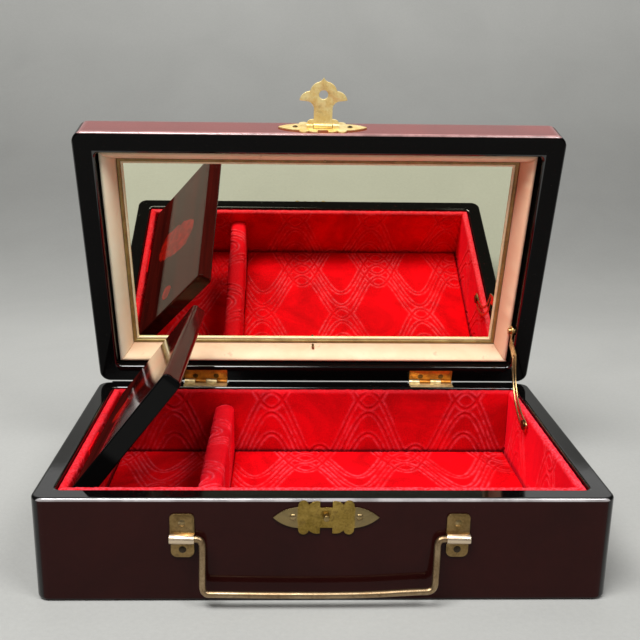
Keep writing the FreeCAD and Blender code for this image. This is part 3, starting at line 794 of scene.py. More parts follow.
@dataclass
class PaddedBoard:
    """A cloth-covered board: a closed profile carried along a straight run.

    A point is middle + run * q * (half_run - mitre * w - gap) + inward * w + up * h, with
    (w, h) on the profile and q from -1 to 1, then moved along the profile's normal by
    the relief of the cloth.
    """

    middle: Array
    run: Array
    inward: Array
    up: Array
    half_run: float
    profile: Array
    mitre: float = 1.0
    gap: float = 0.15
    pitch: float = 0.5

    def ring(self) -> tuple[Array, Array, Array]:
        """Divides the profile evenly.

        Returns:
            Its points, its outward normals and its arc lengths.
        """
        loop = np.vstack([self.profile, self.profile[:1]])
        total = np.concatenate([[0], np.cumsum(np.hypot(*np.diff(loop, axis=0).T))])
        count = max(int(total[-1] / self.pitch), 12)
        t = np.arange(count) / count * total[-1]
        ring = np.stack([np.interp(t, total, loop[:, i]) for i in (0, 1)], -1)
        tangent = np.roll(ring, -1, axis=0) - np.roll(ring, 1, axis=0)
        tangent /= np.linalg.norm(tangent, axis=1)[:, None]
        normal = np.stack([tangent[:, 1], -tangent[:, 0]], -1)
        if ((ring - ring.mean(axis=0)) * normal).sum() < 0:
            normal = -normal
        return ring, normal, t

    def surface(self, relief: Callable[..., Relief]) -> Surface:
        """Works out the closed surface.

        Args:
            relief: gives, for arrays of run, w, h and arc length, the move along the normal
                in millimetres and the values kept on the points.

        Returns:
            The surface.
        """
        ring, normal, t = self.ring()
        q = np.linspace(-1, 1, max(int(2 * self.half_run / self.pitch), 8) + 1)
        run = q[:, None] * (self.half_run - self.mitre * ring[None, :, 0] - self.gap)
        w, h, t = (np.broadcast_to(v, run.shape) for v in (ring[:, 0], ring[:, 1], t))
        move, values = relief(run, w, h, t)
        w, h = w + move * normal[:, 0], h + move * normal[:, 1]
        points = self.middle + run[..., None] * self.run + w[..., None] * self.inward + h[..., None] * self.up
        rows, cols = run.shape
        ends = [range(cols - 1, -1, -1), range((rows - 1) * cols, rows * cols)]
        return Surface(points.reshape(-1, 3), ends, grid_quads(rows, cols, True), values)


@dataclass
class Upholstery:
    """What the cloth-covered sub-assemblies share."""

    finishes: FinishRack

    def cover(self, surface: Surface, name: str, body: str, slot: str, tone: str, node: str,
              fill: float) -> None:
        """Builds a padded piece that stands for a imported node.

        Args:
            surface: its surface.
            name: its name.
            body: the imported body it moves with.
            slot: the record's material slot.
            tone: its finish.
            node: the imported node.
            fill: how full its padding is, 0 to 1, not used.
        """
        obj = surface.build(name, body, slot)
        self.finishes.dress(obj, tone)
        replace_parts(obj, node)


@dataclass
class VelvetLining(Upholstery):
    """Velvet boards, floor pads and divider inside the base."""

    half_x: float = 115.7
    half_y: float = 65.7
    board: float = 4.4
    board_sink: float = 0.12
    foot: float = 6.8
    top: float = 48.4
    corner: float = 1.8
    floor_top: float = 12.0
    floor_y: float = 60.5
    floor_sink: float = 0.15
    pad_edge: float = 1.7
    pad_pitch: float = 0.52
    divider_x: float = -51.8
    divider_w: float = 11.0
    divider_top: float = 40.0
    divider_round: float = 4.2
    divider_groove: float = 0.62
    divider_edge: float = 0.34
    depth: float = 0.38
    edge: float = 0.26
    pattern: WavePattern = field(default_factory=WavePattern)

    def cloth_wave(self, a: Array, b: Array) -> Array:
        """Slow unevenness of the glued cloth, a sum of three long sine waves."""
        return (0.10 * np.sin(a / 17.0 + 0.6) * np.sin(b / 13.0 + 1.1)
                + 0.06 * np.sin(a / 7.3 + b / 11.0 + 2.0) + 0.05 * np.sin(a / 4.1 - b / 5.7))

    def cut_pile(self, a: Array, b: Array) -> Array:
        """Uneven pile along the cut edges, a product and a sum of short sine waves."""
        return (0.09 * np.sin(a / 0.61 + 2 * np.sin(a / 5.3)) * np.sin(b / 0.9 + a / 2.3)
                + 0.07 * np.sin(a / 1.37))

    def wall_profile(self) -> Array:
        """Upright board's profile with both top corners rounded.

        Returns:
            Points (w, h), w from 0 at the back to the board's thickness at its face.
        """
        r, high = self.corner, self.top - self.corner
        a = np.linspace(0, math.pi / 2, 7)
        back = np.stack([r - r * np.cos(a), high + r * np.sin(a)], -1)
        face = np.stack([self.board - r + r * np.sin(a), high + r * np.cos(a)], -1)
        return np.vstack([[0.0, self.foot], back, face, [self.board, self.foot]])

    def wall_relief(self, run: Array, w: Array, h: Array, t: Array, knot: Place, tuft_sheen: float) -> Relief:
        """Relief of a wall board, whose visible face carries the pattern, with a painted shadow along its
        foot and a painted sheen on its top.

        Args:
            run: places along the board.
            w: distances from its back.
            h: heights.
            t: arc lengths round its profile.
            knot: place of one knot of the pattern.
            tuft_sheen: strength of the painted sheen on its top.

        Returns:
            The move and the values kept.
        """
        seen = np.clip((w / self.board - 0.55) / 0.3, 0, 1)
        rim = np.clip((h - self.top + self.corner) / self.corner, 0, 1)
        groove, edge = (v * seen * (1 - rim) for v in self.pattern.pressed(run, h, knot))
        move = self.edge * edge - self.depth * groove + 0.7 * self.cloth_wave(run, h) * seen - self.board_sink
        # painted shadow along the foot of the wall, where it meets the floor pad
        seam_shadow = np.exp(-(np.clip(h - self.floor_top + 0.3, 0, None) / 0.9) ** 2) * seen
        return move + rim * self.cut_pile(run, t), {"groove": groove, "ridge": edge, "tuft_sheen": rim * tuft_sheen,
                                                    "shade": seam_shadow * (1.4 - tuft_sheen)}

    def walls(self) -> None:
        """Builds the four wall boards."""
        profile = self.wall_profile()
        # the back wall takes the shaded copy of the velvet and the right wall the lit copy: painted light
        for side, middle, run, half, knot, tuft_sheen, tone in (
            (Side.BACK, Y * self.half_y, X, self.half_x, (31.0, 42.6), 0.5, "shaded_back_velvet"),
            (Side.FRONT, -Y * self.half_y, -X, self.half_x, (-45.5, 40.4), 1.0, "red_velvet"),
            (Side.LEFT, -X * self.half_x, Y, self.half_y, (14.0, 41.0), 0.6, "red_velvet"),
            (Side.RIGHT, X * self.half_x, -Y, self.half_y, (21.5, 41.6), 1.0, "lit_velvet"),
        ):
            inward = -middle / np.linalg.norm(middle)
            board = PaddedBoard(middle, run, inward, Z, half, profile, pitch=0.56)
            self.cover(board.surface(partial(self.wall_relief, knot=knot, tuft_sheen=tuft_sheen)),
                       "velvet_wall_" + side.value, "base", "red_velvet", tone, "lining_" + side.value, 0.2)

    def pad_line(self, low: float, high: float) -> Array:
        """Places along one side of a pad, closer together in its rounded edges.

        Args:
            low: one end.
            high: the other end.

        Returns:
            The places, in rising order.
        """
        r = self.pad_edge
        edge = r * (1 - np.cos(np.linspace(0, math.pi / 2, 7)))[:-1]
        inner = np.linspace(low + r, high - r, int((high - low) / self.pad_pitch))
        return np.concatenate([low + edge, inner, high - edge[::-1]])

    def floor_pad(self, size: str, x0: float, x1: float, knot: Place) -> None:
        """Builds one floor pad: a height over a plan grid, round at its edges, on a skirt.

        The height is top - r (1 - sqrt(1 - (1 - e / r)^2)) within r of an edge, with e the
        distance to the nearest edge, plus the pressed pattern and a slow unevenness.

        Args:
            size: the last word of its names.
            x0: its left limit.
            x1: its right limit.
            knot: the place of one knot of the pattern.
        """
        y1, r = self.floor_y, self.pad_edge
        x, y = np.meshgrid(self.pad_line(x0, x1), self.pad_line(-y1, y1), indexing="ij")
        e = np.minimum(np.minimum(x - x0, x1 - x), y1 - np.abs(y))
        fall = r * (1 - np.sqrt(np.clip(1 - (1 - np.clip(e / r, 0, 1)) ** 2, 0, 1)))
        inside = np.clip((e - 0.4) / 1.5, 0, 1)
        groove, edge = (v * inside for v in self.pattern.pressed(x, y, knot))
        z = (self.floor_top - self.floor_sink - fall + self.edge * edge - self.depth * groove
             + self.cloth_wave(x, y) * inside)
        top = np.stack([x, y, z], -1).reshape(-1, 3)
        index = np.arange(x.size).reshape(x.shape)
        rim = np.concatenate([index[0, :-1], index[:-1, -1], index[-1, :0:-1], index[:0:-1, 0]])
        low = x.size + np.arange(len(rim))
        points = np.vstack([top, top[rim] * (X + Y) + Z * self.foot])
        wall = np.stack([rim, np.roll(rim, -1), np.roll(low, -1), low], -1)
        quads = np.vstack([grid_quads(*x.shape, False), wall])[:, ::-1]
        values = {k: np.append(v, np.zeros(len(rim)))
                  for k, v in (("groove", groove), ("ridge", edge), ("tuft_sheen", 0 * x))}
        self.cover(Surface(points, [low[::-1].tolist()], quads, values), "velvet_floor_" + size, "base",
                   "red_velvet", "red_velvet", "floor_pad_" + size, 0.4)

    def divider_relief(self, run: Array, w: Array, h: Array, t: Array) -> Relief:
        """Pattern carried over the divider's top by the arc length, with soft folds across and a painted
        sheen along the top.

        Args:
            run: places along the divider.
            w: distances from its right face.
            h: heights.
            t: arc lengths round its profile.

        Returns:
            The move and the values kept.
        """
        over = t[0, np.argmax(h[0] - np.abs(w[0] - self.divider_w / 2))] - t
        groove, edge = self.pattern.pressed(-run, over, (22.0, 20.4))
        top = np.exp(-(over / 6.0) ** 2)
        fold = 0.12 * top * np.sin(run / 1.9 + 0.5 * np.sin(over / 3.0)) * (0.5 + 0.5 * np.sin(run / 9.0))
        move = (self.divider_edge * edge - self.divider_groove * groove + 0.6 * self.cloth_wave(run, over)
                + fold - self.floor_sink)
        # painted sheen along the divider's top
        return move, {"groove": groove, "ridge": edge, "tuft_sheen": 0.12 * top}

    def divider(self) -> None:
        """Builds the padded divider, with its round top a flattened arc."""
        half, r = self.divider_w / 2, self.divider_round
        a = np.linspace(0, math.pi, 31)
        arc = np.stack([half - half * np.sign(np.cos(a)) * np.abs(np.cos(a)) ** 0.72,
                        self.divider_top - r + r * np.sin(a) ** 0.8], -1)
        profile = np.vstack([[0.0, self.foot], arc, [self.divider_w, self.foot]])
        board = PaddedBoard(X * (self.divider_x + half), -Y, -X, Z, self.floor_y + 0.6, profile, 0.0, 0.0)
        # the divider takes the lit copy of the velvet: painted light
        self.cover(board.surface(self.divider_relief), "velvet_divider", "base", "red_velvet", "lit_velvet",
                   "compartment_divider", 0.7)

    def build(self) -> None:
        """Builds every velvet piece."""
        self.walls()
        self.floor_pad("small", -110.6, -57.5, (-84.0, 12.0))
        self.floor_pad("large", -46.1, 110.6, (22.5, 4.7))
        self.divider()


@dataclass
class MirrorSurround(Upholstery):
    """Padded satin strips round the mirror, with the mirror, lip, band and brads."""

    half_x: float = 114.0
    near: float = 10.4
    far: float = 139.0
    depth: float = 4.3
    fall: float = 9.6
    ridge: float = 1.5
    ridge_rise: float = 1.4
    inner: float = 7.6
    foot: float = 15.9
    dressed: tuple[tuple[str, str], ...] = (
        ("mirror_silvering", "mirror_glass"), ("gold_fillet", "mirror_fillet"), ("cream_lip", "mirror_lip"),
        ("nail_brass", "frame_brads"))

    def profile(self, w0: float) -> Array:
        """Strip's profile, an arc from the outer ridge down to the band, through a swell.

        Args:
            w0: distance of its outer face from the strip's line.

        Returns:
            Points (w, h), h counted up from the rim, so it is negative.
        """
        a = np.linspace(0, math.pi / 2, 8)
        start = w0 + self.ridge
        ridge = np.stack([start - self.ridge * np.cos(a),
                          -self.depth - self.ridge_rise * (1 - np.sin(a))], -1)
        t = np.linspace(0, 1, 22)[1:]
        swell = np.sin(math.pi * t)
        face = np.stack([start + (self.inner - start) * (t + 0.10 * swell),
                         0.55 * swell - self.depth - self.fall * t ** 1.25], -1)
        return np.vstack([[w0, -self.foot], ridge, face, [self.inner, -self.foot]])

    def relief(self, run: Array, w: Array, h: Array, t: Array, seed: float, folds: float) -> Relief:
        """Small puckers across a strip, stronger towards one end.

        Args:
            run: places along the strip.
            w: distances across it.
            h: heights, not used.
            t: arc lengths, not used.
            seed: start of its waves.
            folds: depth of its puckers.

        Returns:
            The move and the values kept.
        """
        share = (w - w.min()) / (self.inner - w.min())
        slow = 0.10 * np.sin(run / 23.0 + seed) + 0.06 * np.sin(run / 8.1 + 2 * seed)
        pucker = folds * np.sin(run / 1.7 + 1.3 * np.sin(run / 9.0 + seed) + 2.0 * share)
        gather = np.clip(np.sin(run / 14.0 + seed), 0, 1) ** 2
        return np.sin(math.pi * np.clip(share, 0, 1)) * (slow + pucker * gather) - 0.05, {"inward": share}

    def build(self) -> None:
        """Builds the four padded strips and dresses the rest."""
        mid, half = (self.near + self.far) / 2, (self.far - self.near) / 2
        # the left strip takes the lit copy of the satin and the right strip the shaded copy: painted light
        for i, (side, middle, run, inward, reach, w0, folds, tone) in enumerate((
            (Side.BACK, (0, self.near), X, ALONG_LID, self.half_x, 0.6, 0.05, "cream_satin"),
            (Side.FRONT, (0, self.far), X, -ALONG_LID, self.half_x, 0.6, 0.03, "cream_satin"),
            (Side.LEFT, (-self.half_x, mid), ALONG_LID, X, half, 0.6, 0.05, "lit_left_satin"),
            (Side.RIGHT, (self.half_x, mid), -ALONG_LID, -X, half, 1.3, 0.22, "shaded_right_satin"),
        )):
            board = PaddedBoard(lid_point(*middle, 0), run, inward, -INTO_LID, reach, self.profile(w0),
                                gap=0.14)
            self.cover(board.surface(partial(self.relief, seed=1.7 * i + 0.4, folds=folds)),
                       "satin_strip_" + side.value, "lid", "cream_satin", tone,
                       "frame_strip_" + side.value, 0.5)
        for row in self.dressed:
            self.finishes.dress_nodes(*row)


@dataclass
class Carcass:
    """Lacquered base, lid and flap."""

    finishes: FinishRack
    shade_strips: tuple[tuple[float, float], ...] = ((-118.0, -76.6), (-50.4, 54.9), (81.1, 118.0))
    shade_strip_y: tuple[float, float] = (73.2, 75.5)
    shade_strip_z: tuple[float, float] = (47.4, 49.18)

    def build(self) -> None:
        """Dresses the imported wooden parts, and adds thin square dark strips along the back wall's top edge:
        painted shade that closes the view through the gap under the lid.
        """
        for side in Side:
            self.finishes.dress_nodes("base_lacquer", f"base_{side.value}_wall")
            self.finishes.dress_nodes("lid_lacquer", f"lid_{side.value}_rail")
        self.finishes.dress_nodes("lid_lacquer", "lid_top_panel")
        self.finishes.dress_nodes("underside_board", "base_bottom_panel")
        self.finishes.dress_nodes("flap_lacquer", "compartment_flap")
        quads = np.array([(0, 2, 3, 1), (4, 5, 7, 6), (0, 1, 5, 4), (2, 6, 7, 3), (0, 4, 6, 2), (1, 3, 7, 5)])
        # painted shade: the strips block the view through the gap under the lid to the lit floor behind the
        # box
        for i, span in enumerate(self.shade_strips, 1):
            points = np.array([(a, b, c) for c in self.shade_strip_z for b in self.shade_strip_y for a in span])
            shade_strip = Surface(points, [], quads).build(f"base_back_shade_strip_{i}", "base", "lacquer")
            shade_strip.data.shade_flat()
            self.finishes.dress(shade_strip, "base_lacquer")


@dataclass
class StayShape:
    """Slotted stay with a gentle sideways bend below its eye.

    A point is line(s) + w (cos(f) p + sin(f) x) + x bend(s), with p across the line in the
    lid's turning plane, f a small twist and bend a smooth step along the neck.  The line is
    a straight neck from the eye, then the slot's path: where the base pin runs along the
    stay while the lid closes, with the stay turning 0.08 times as fast as the lid and the
    other way round.
    """

    eye: Place = (34.0, 2.5)
    pin: Place = (22.0, 43.8)
    half: float = 3.1
    slot: float = 1.65
    twist: float = math.radians(2)
    eye_x: float = 112.3
    shift: float = 2.08
    bend: Place = (0.5, 10.0)
    lag: float = -0.08
    over_open: float = math.radians(2.5)
    smooth: float = 4.5

    def __post_init__(self) -> None:
        """Works out the line, as (y, z), and its arc lengths."""
        a = np.linspace(LID_OPEN + self.over_open, 0.0, 33)
        off = np.array(self.pin) - self.eye_at(a)
        turn = self.lag * (a - LID_OPEN)
        home = self.eye_at(np.array(LID_OPEN))
        path = home + np.stack([off[:, 0] * np.cos(turn) - off[:, 1] * np.sin(turn),
                                off[:, 0] * np.sin(turn) + off[:, 1] * np.cos(turn)], -1)
        self.line = np.vstack([home, path[::-1]])
        self.legs = np.concatenate([[0], np.cumsum(np.linalg.norm(np.diff(self.line, axis=0), axis=1))])
        self.neck, self.total = self.legs[1], self.legs[-1]
        self.start = self.neck - 2.6

    def eye_at(self, angle: Array) -> Array:
        """Places (y, z) of the eye with the lid open by an angle.

        Args:
            angle: angles in radians.

        Returns:
            The places.
        """
        s, d = self.eye[0], self.eye[1] + RIM_GAP
        return np.stack([HINGE_Y - s * np.cos(angle) + d * np.sin(angle),
                         HINGE_Z + s * np.sin(angle) + d * np.cos(angle)], -1)

    def at(self, s: Array, w: Array) -> Array:
        """Points of the stay.

        Args:
            s: arc lengths from the eye.
            w: offsets across the line.

        Returns:
            The points in millimetres.
        """
        base = np.clip(s, 0, self.total)
        behind, here, ahead = (
            np.stack([np.interp(base + step, self.legs, v) for v in self.line.T], -1)
            for step in (-self.smooth, 0.0, self.smooth))
        along = (ahead - behind) / np.linalg.norm(ahead - behind, axis=1)[:, None]
        here = here + np.clip(s - self.total, 0, None)[:, None] * along
        share = np.clip((s - self.bend[0]) / (self.bend[1] - self.bend[0]), 0, 1)
        x = self.eye_x - self.shift * (3 * share ** 2 - 2 * share ** 3)
        across = np.column_stack([np.zeros(len(s)), along[:, 1], -along[:, 0]])
        if across[0, 2] < 0:
            across = -across
        side = math.cos(self.twist) * across + math.sin(self.twist) * X
        return np.column_stack([x, here]) + w[:, None] * side

    def width(self, s: Array) -> Array:
        """Half-width of the stay at arc lengths."""
        return np.interp(s, [0, 6, self.neck, self.total], [2.0, 2.6, 3.1, self.half])

    def slot_width(self, s: Array) -> Array:
        """Half-width of the slot at arc lengths."""
        return np.full(len(s), self.slot)

    def outline(self, s0: float, half: Callable[[Array], Array], cap: float, head: float) -> Array:
        """Closed outline: up one side, round the far end, down the other, round the near end.

        Args:
            s0: arc length where it starts.
            half: gives the half-width at arc lengths.
            cap: radius of the far end.
            head: reach of the near end.

        Returns:
            Its points.
        """
        s = np.linspace(s0, self.total, 60)
        b = np.linspace(0, math.pi, 11)[1:-1]
        far = self.at(self.total + cap * np.sin(b), cap * np.cos(b))
        near = self.at(s0 - head * np.sin(b), -half(np.full_like(b, s0)) * np.cos(b))
        return np.vstack([self.at(s, half(s)), far, self.at(s[::-1], -half(s[::-1])), near])


@dataclass
class Hardware:
    """Hinges, hasp, catch, handle and stay."""

    finishes: FinishRack
    hinge_xs: Place = (-63.5, 68.0)
    nail_step: float = 6.0
    nail_s: float = 4.1
    leaf_face: float = -0.15
    head_radius: float = 1.55
    head_rise: float = 0.06
    stay_thick: float = 0.6
    neck_thick: float = 0.52
    eye_radii: Place = (3.2, 1.5)
    hasp_foot: tuple[float, float, float] = (1.2, 42.17, 197.52)
    hasp_thick: float = 0.76
    wire: float = 1.5
    edged: tuple[tuple[str, str, float, tuple[str, ...]], ...] = (
        ("hasp_gilt", "bright_gilt", 0.16, ("hasp", "hasp_plate")),
        ("aged_brass", "aged_brass", 0.20, ("catch_plate",)),
        ("bracket_brass", "aged_brass", 0.22, ("handle_bracket_left", "handle_bracket_right")),
        ("hinge_pale", "hinge_brass", 0.14, ("hinge_left_base_leaf", "hinge_right_base_leaf")),
        ("hinge_amber", "hinge_brass", 0.14, ("hinge_left_lid_leaf", "hinge_right_lid_leaf")),
    )
    plain: tuple[tuple[str, ...], ...] = (
        ("nail_dark", "hasp_plate_nails", "stay_base_pin"),
        ("red_velvet", "flap_hinge_plate"),
        ("nail_brass", "catch_plate_nails", "handle_bracket_nails", "catch_post", "hinge_base_nails",
         "hinge_lid_nails"),
        ("stay_brass", "stay_lid_pin"),
        ("pin_steel", "hinge_left_pin", "hinge_right_pin", "hasp_pin", "flap_hinge_pin"),
    )

    def soften(self, obj: Piece, width: float = 0.12) -> None:
        """Rounds an object's sharp edges.

        Args:
            obj: the object.
            width: width of the rounding in millimetres.
        """
        bevel = obj.modifiers.new("soft_edges", "BEVEL")
        bevel.width = width * MM
        bevel.segments = 2
        bevel.limit_method = "ANGLE"
        bevel.angle_limit = math.radians(38)
        bevel.harden_normals = True

    def edge_copy(self, node: str, finish: str, width: float) -> None:
        """Stands in for a stamped metal node with the same mesh, merged, with softened edges.

        Args:
            node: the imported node.
            finish: the finish's name.
            width: width of the softened edge in millimetres.
        """
        source = frame["nodes"][node]
        mesh = source.data.copy()
        mesh.name = node + "_soft"
        cloud = bmesh.new()
        cloud.from_mesh(mesh)
        bmesh.ops.remove_doubles(cloud, verts=cloud.verts, dist=0.02 * MM)
        bmesh.ops.dissolve_limit(cloud, angle_limit=math.radians(0.6), verts=cloud.verts, edges=cloud.edges)
        cloud.to_mesh(mesh)
        cloud.free()
        mesh.shade_smooth()
        obj = add_object(node + "_soft", mesh)
        self.soften(obj, width)
        self.finishes.dress(obj, finish)
        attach(obj, source["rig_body"])
        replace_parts(obj, node)
        LOG.info("softened the edges of %s", node)

    def plate(self, name: str, outer: Array, inner: Array) -> Piece:
        """Builds a flat brass ring of the stay between two closed outlines of as many points.

        Args:
            name: the piece's name.
            outer: points of the outer outline, in millimetres.
            inner: points of the inner outline.

        Returns:
            The object.
        """
        half = X * self.stay_thick / 2
        loops = np.vstack([outer - half, outer + half, inner + half, inner - half])
        quads = grid_quads(5, len(outer), True) % len(loops)
        obj = Surface(loops, [], quads).build(name, "stay", "stay_brass")
        self.soften(obj)
        self.finishes.dress(obj, "stay_brass")
        return obj

    def stay(self) -> None:
        """Builds the stay's slotted band, its thinner neck and its eye."""
        shape = StayShape()
        outer = shape.outline(shape.start, shape.width, shape.half, 0.0)
        inner = shape.outline(shape.neck, shape.slot_width, shape.slot, shape.slot)
        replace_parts(self.plate("stay_band", outer, inner), "stay_strap")
        rows = 40
        s = np.linspace(2.0, shape.start, rows)
        sides = [shape.at(s, way * shape.width(s)) + lift * X * self.neck_thick / 2
                 for way, lift in ((-1, -1), (-1, 1), (1, 1), (1, -1))]
        ends = [range(3, -1, -1), range(4 * rows - 4, 4 * rows)]
        neck = Surface(np.stack(sides, 1).reshape(-1, 3), ends, grid_quads(rows, 4, True))
        neck = neck.build("stay_neck", "stay", "stay_brass")
        self.soften(neck)
        self.finishes.dress(neck, "stay_brass")
        b = np.arange(32) * 2 * math.pi / 32
        circle = np.column_stack([0 * b, np.cos(b), np.sin(b)])
        centre = np.array([shape.eye_x, *shape.line[0]])
        self.plate("stay_eye", *(centre + radius * circle for radius in self.eye_radii))

    def hasp_lobes(self) -> None:
        """Adds the two small rounded lobes beside the foot of the hasp's neck."""
        b = np.linspace(0, math.pi, 15)
        k, m = np.arange(15), np.roll(np.arange(15), -1)
        across, along = 4.9 + 3.1 * np.cos(b), 1.45 + 2.1 * np.sin(b) ** 0.8
        half = INTO_LID * self.hasp_thick / 2
        for side, way in (("left", -X), ("right", X)):
            flat = np.array(self.hasp_foot) + np.outer(across, way) + np.outer(along, ALONG_LID)
            faces = [k[::-1].tolist(), (k + 15).tolist()]
            lobe = Surface(np.vstack([flat - half, flat + half]), faces, np.stack([k, m, m + 15, k + 15], -1))
            lobe = lobe.build("hasp_lobe_" + side, "hasp_arm", "bright_gilt")
            self.soften(lobe)
            self.finishes.dress(lobe, "hasp_gilt")

    def hinge_heads(self) -> None:
        """Adds the two low round nail heads that show on each lid leaf.

        Points lie at centre + out * rise * cos(a) + radius * sin(a) * (u cos(b) + v sin(b)),
        a from 0 at the pole to a right angle at the rim, closed by one flat face.
        """
        out, n = -INTO_LID, 20
        b = (np.arange(n) * 2 * math.pi / n)[:, None]
        a = np.radians([22.5, 45.0, 67.5, 90.0])[:, None, None]
        ring = np.cos(b) * X + np.sin(b) * np.cross(out, X)
        shells = self.head_rise * np.cos(a) * out + self.head_radius * np.sin(a) * ring
        points = np.vstack([shells.reshape(-1, 3), self.head_rise * out])
        faces = [(4 * n, i, (i + 1) % n) for i in range(n)] + [range(4 * n - 1, 3 * n - 1, -1)]
        for side, x in zip(("left", "right"), self.hinge_xs):
            for i, step in enumerate((-self.nail_step, self.nail_step), 1):
                centre = lid_point(x + step, self.nail_s, self.leaf_face)
                head = Surface(points + centre, faces, grid_quads(4, n, True)[:, ::-1])
                self.finishes.dress(head.build(f"hinge_{side}_head_{i}", "lid", "hinge_brass"), "nail_dark")

    def bail(self) -> None:
        """Builds the wire handle, whose grip is bent a little forward of its pivots.

        Its line is a smooth curve of order three, so it runs through the middles of the
        legs between these points and rounds each corner.
        """
        y0, z0 = -77.4, 31.4
        route = [(-65.2, y0, z0), (-57.5, y0, z0), (-51.9, y0, z0), (-51.9, -78.3, 24.6),
                 (-52.0, -80.0, 16.0), (-52.0, -81.3, 7.5), (-46.2, -81.3, 7.4), (-20.0, -81.3, 6.9),
                 (16.0, -81.3, 6.9),
                 (40.0, -81.3, 8.5), (47.4, -81.3, 8.6), (47.8, -80.0, 17.0), (48.2, -78.3, 24.6),
                 (48.3, y0, z0), (54.0, y0, z0), (61.5, y0, z0)]
        curve = bpy.data.curves.new("wire_handle", "CURVE")
        curve.dimensions = "3D"
        curve.bevel_depth = self.wire * MM
        curve.bevel_resolution = 5
        curve.resolution_u = 10
        curve.use_fill_caps = True
        line = curve.splines.new("NURBS")
        line.points.add(len(route) - 1)
        for point, at in zip(line.points, route):
            point.co = (*(c * MM for c in at), 1.0)
        line.order_u = 3
        line.use_endpoint_u = True
        obj = add_object("wire_handle", curve)
        curve.materials.append(self.finishes.made["bail_brass"])
        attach(obj, "bail")
        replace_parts(obj, "bail_handle")
        LOG.info("built wire_handle")

    def build(self) -> None:
        """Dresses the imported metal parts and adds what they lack."""
        for finish, slot, width, nodes in self.edged:
            for node in nodes:
                self.edge_copy(node, finish, width)
        for row in self.plain:
            self.finishes.dress_nodes(*row)
        self.hinge_heads()
        self.bail()
        self.stay()
        self.hasp_lobes()


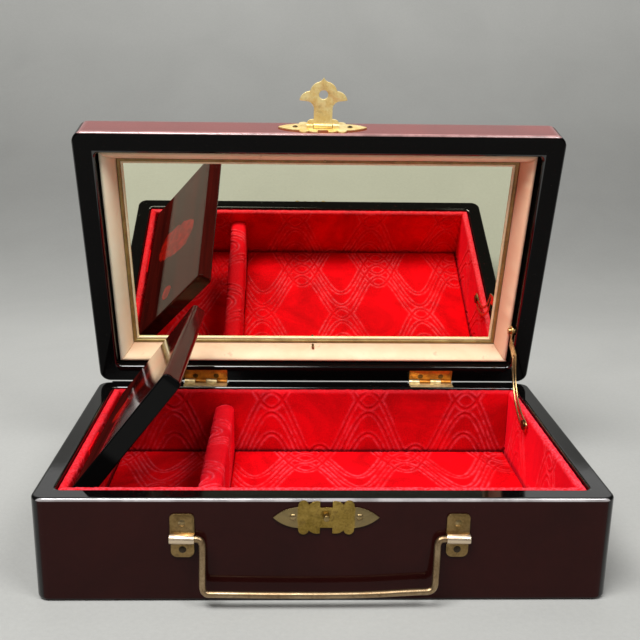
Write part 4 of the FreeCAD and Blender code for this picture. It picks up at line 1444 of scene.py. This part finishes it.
@dataclass
class Studio:
    """Floor, backdrop, lamps and camera.  Lamps are name, place, aim, size and watts."""

    eye: tuple[float, float, float] = (-0.01692, -0.41322, 0.21815)
    yaw: float = math.radians(-1.436)
    pitch: float = math.radians(15.246)
    roll: float = math.radians(-0.671)
    lens: float = 49.403
    shift: Place = (0.0199, 0.0047)
    ground: Colour = srgb("b2b2ae")
    half_width: float = 9000.0
    bend: float = 700.0
    bend_y: float = 450.0
    top: float = 3000.0
    # painted shade on the paper: share of darkening at places along y, a painted shadow next to the box and a
    # darker band up the backdrop
    painted_shade: tuple[Place, ...] = (
        (0.0, 0.13), (0.13, 0.0), (0.29, 0.0), (0.42, 0.14), (0.52, 0.28), (0.61, 0.35), (0.68, 0.32),
        (0.79, 0.14), (0.84, 0.0))
    lamps: tuple[tuple, ...] = (
        ("key_softbox", (-0.30, -0.44, 1.0), (0.0, 0.0, 0.08), (0.6, 0.45), 14.5),
        ("back_softbox", (0.0, 0.92, 0.86), (0.0, 0.0, 0.1), (2.0, 0.7), 3.1),
        ("fill_softbox", (0.6, -0.6, 1.1), (0.0, 0.0, 0.1), (0.5, 0.5), 8.0),
        ("backdrop_softbox", (0.0, 0.45, 1.6), (0.0, 1.3, 1.0), (1.6, 0.6), 2.2),
    )

    def paper(self) -> bpy.types.Material:
        """Grey paper with painted shade: darker next to the box and in a band up the backdrop, as the table
        says.

        Returns:
            The material.
        """
        n = Nodes("studio_paper")
        grit = n.noise(420.0, 4.0, 0.7)
        tone = n.blend(n.noise(9.0, 6.0, warp=0.5), grit, 0.5)
        low, high = (tuple(c * k for c in self.ground) for k in (0.93, 1.06))
        # painted shade: the paper is darkened by the table's share at each place along y
        reach = n.ramp(n.mul(n.axis(1), 0.8), [(at, (v, v, v)) for at, v in self.painted_shade])
        colour = n.mix(reach, n.ramp(tone, [(0.3, low), (0.7, high)]), (0.0, 0.0, 0.0))
        return n.surface(Base_Color=colour, Roughness=0.9, Specular_IOR_Level=0.2,
                         Normal=n.bump(grit, 0.0004, 0.3))

    def backdrop(self) -> None:
        """Seamless floor and backdrop: a floor line that curves up into a wall."""
        a = np.linspace(0, math.pi / 2, 25)
        rise = self.bend - self.bend * np.cos(a)
        y = np.concatenate([[-3000.0, -600.0, 100.0], self.bend_y + self.bend * np.sin([*a, a[-1]])])
        z = np.concatenate([[0.0, 0.0, 0.0], rise, [self.top]])
        x, y = np.meshgrid(np.linspace(-self.half_width, self.half_width, 3), y, indexing="ij")
        points = np.stack([x, y, np.broadcast_to(z, x.shape)], -1).reshape(-1, 3) * MM
        mesh = bpy.data.meshes.new("studio_floor")
        mesh.from_pydata(points.tolist(), [], grid_quads(*x.shape, False).tolist())
        mesh.shade_smooth()
        mesh.materials.append(self.paper())
        add_object("studio_floor", mesh)

    def light(self) -> None:
        """Adds the rectangular soft lamps and a faint even light."""
        for name, at, to, size, power in self.lamps:
            data = bpy.data.lights.new(name, "AREA")
            data.shape = "RECTANGLE"
            data.size, data.size_y = size
            data.energy = power
            obj = add_object(name, data)
            obj.location = at
            obj.rotation_mode = "QUATERNION"
            obj.rotation_quaternion = (Vector(to) - Vector(at)).to_track_quat("-Z", "Y")
        world = bpy.data.worlds.new("studio")
        world.use_nodes = True
        sky = world.node_tree.nodes["Background"].inputs
        sky["Color"].default_value = (0.8, 0.8, 0.8, 1.0)
        sky["Strength"].default_value = 0.13
        bpy.context.scene.world = world

    def camera(self) -> None:
        """Camera at the photograph's angle."""
        data = bpy.data.cameras.new("camera")
        data.lens = self.lens
        data.sensor_width = 36.0
        data.shift_x, data.shift_y = self.shift
        data.clip_start, data.clip_end = 0.01, 50.0
        turn = (Matrix.Rotation(self.yaw, 3, "Z") @ Matrix.Rotation(-self.pitch, 3, "X")
                @ Matrix.Rotation(self.roll, 3, "Y"))
        right, ahead, up = (turn.col[i].copy() for i in range(3))
        place = Matrix((right, up, -ahead)).transposed().to_4x4()
        place.translation = self.eye
        obj = add_object("camera", data)
        obj.matrix_world = place
        bpy.context.scene.camera = obj

    def build(self) -> None:
        """Sets up the stage."""
        self.backdrop()
        self.light()
        bpy.context.scene.view_settings.view_transform = "Standard"
        self.camera()


def main() -> None:
    """Builds and dresses the box, part by part."""
    logging.basicConfig(level=logging.INFO, format="%(name)s: %(message)s")
    finishes = FinishRack()
    for part in (Carcass(finishes), VelvetLining(finishes), MirrorSurround(finishes), Hardware(finishes)):
        part.build()
        LOG.info("finished %s", type(part).__name__)
    Studio().build()


if __name__ == "__main__":
    main()
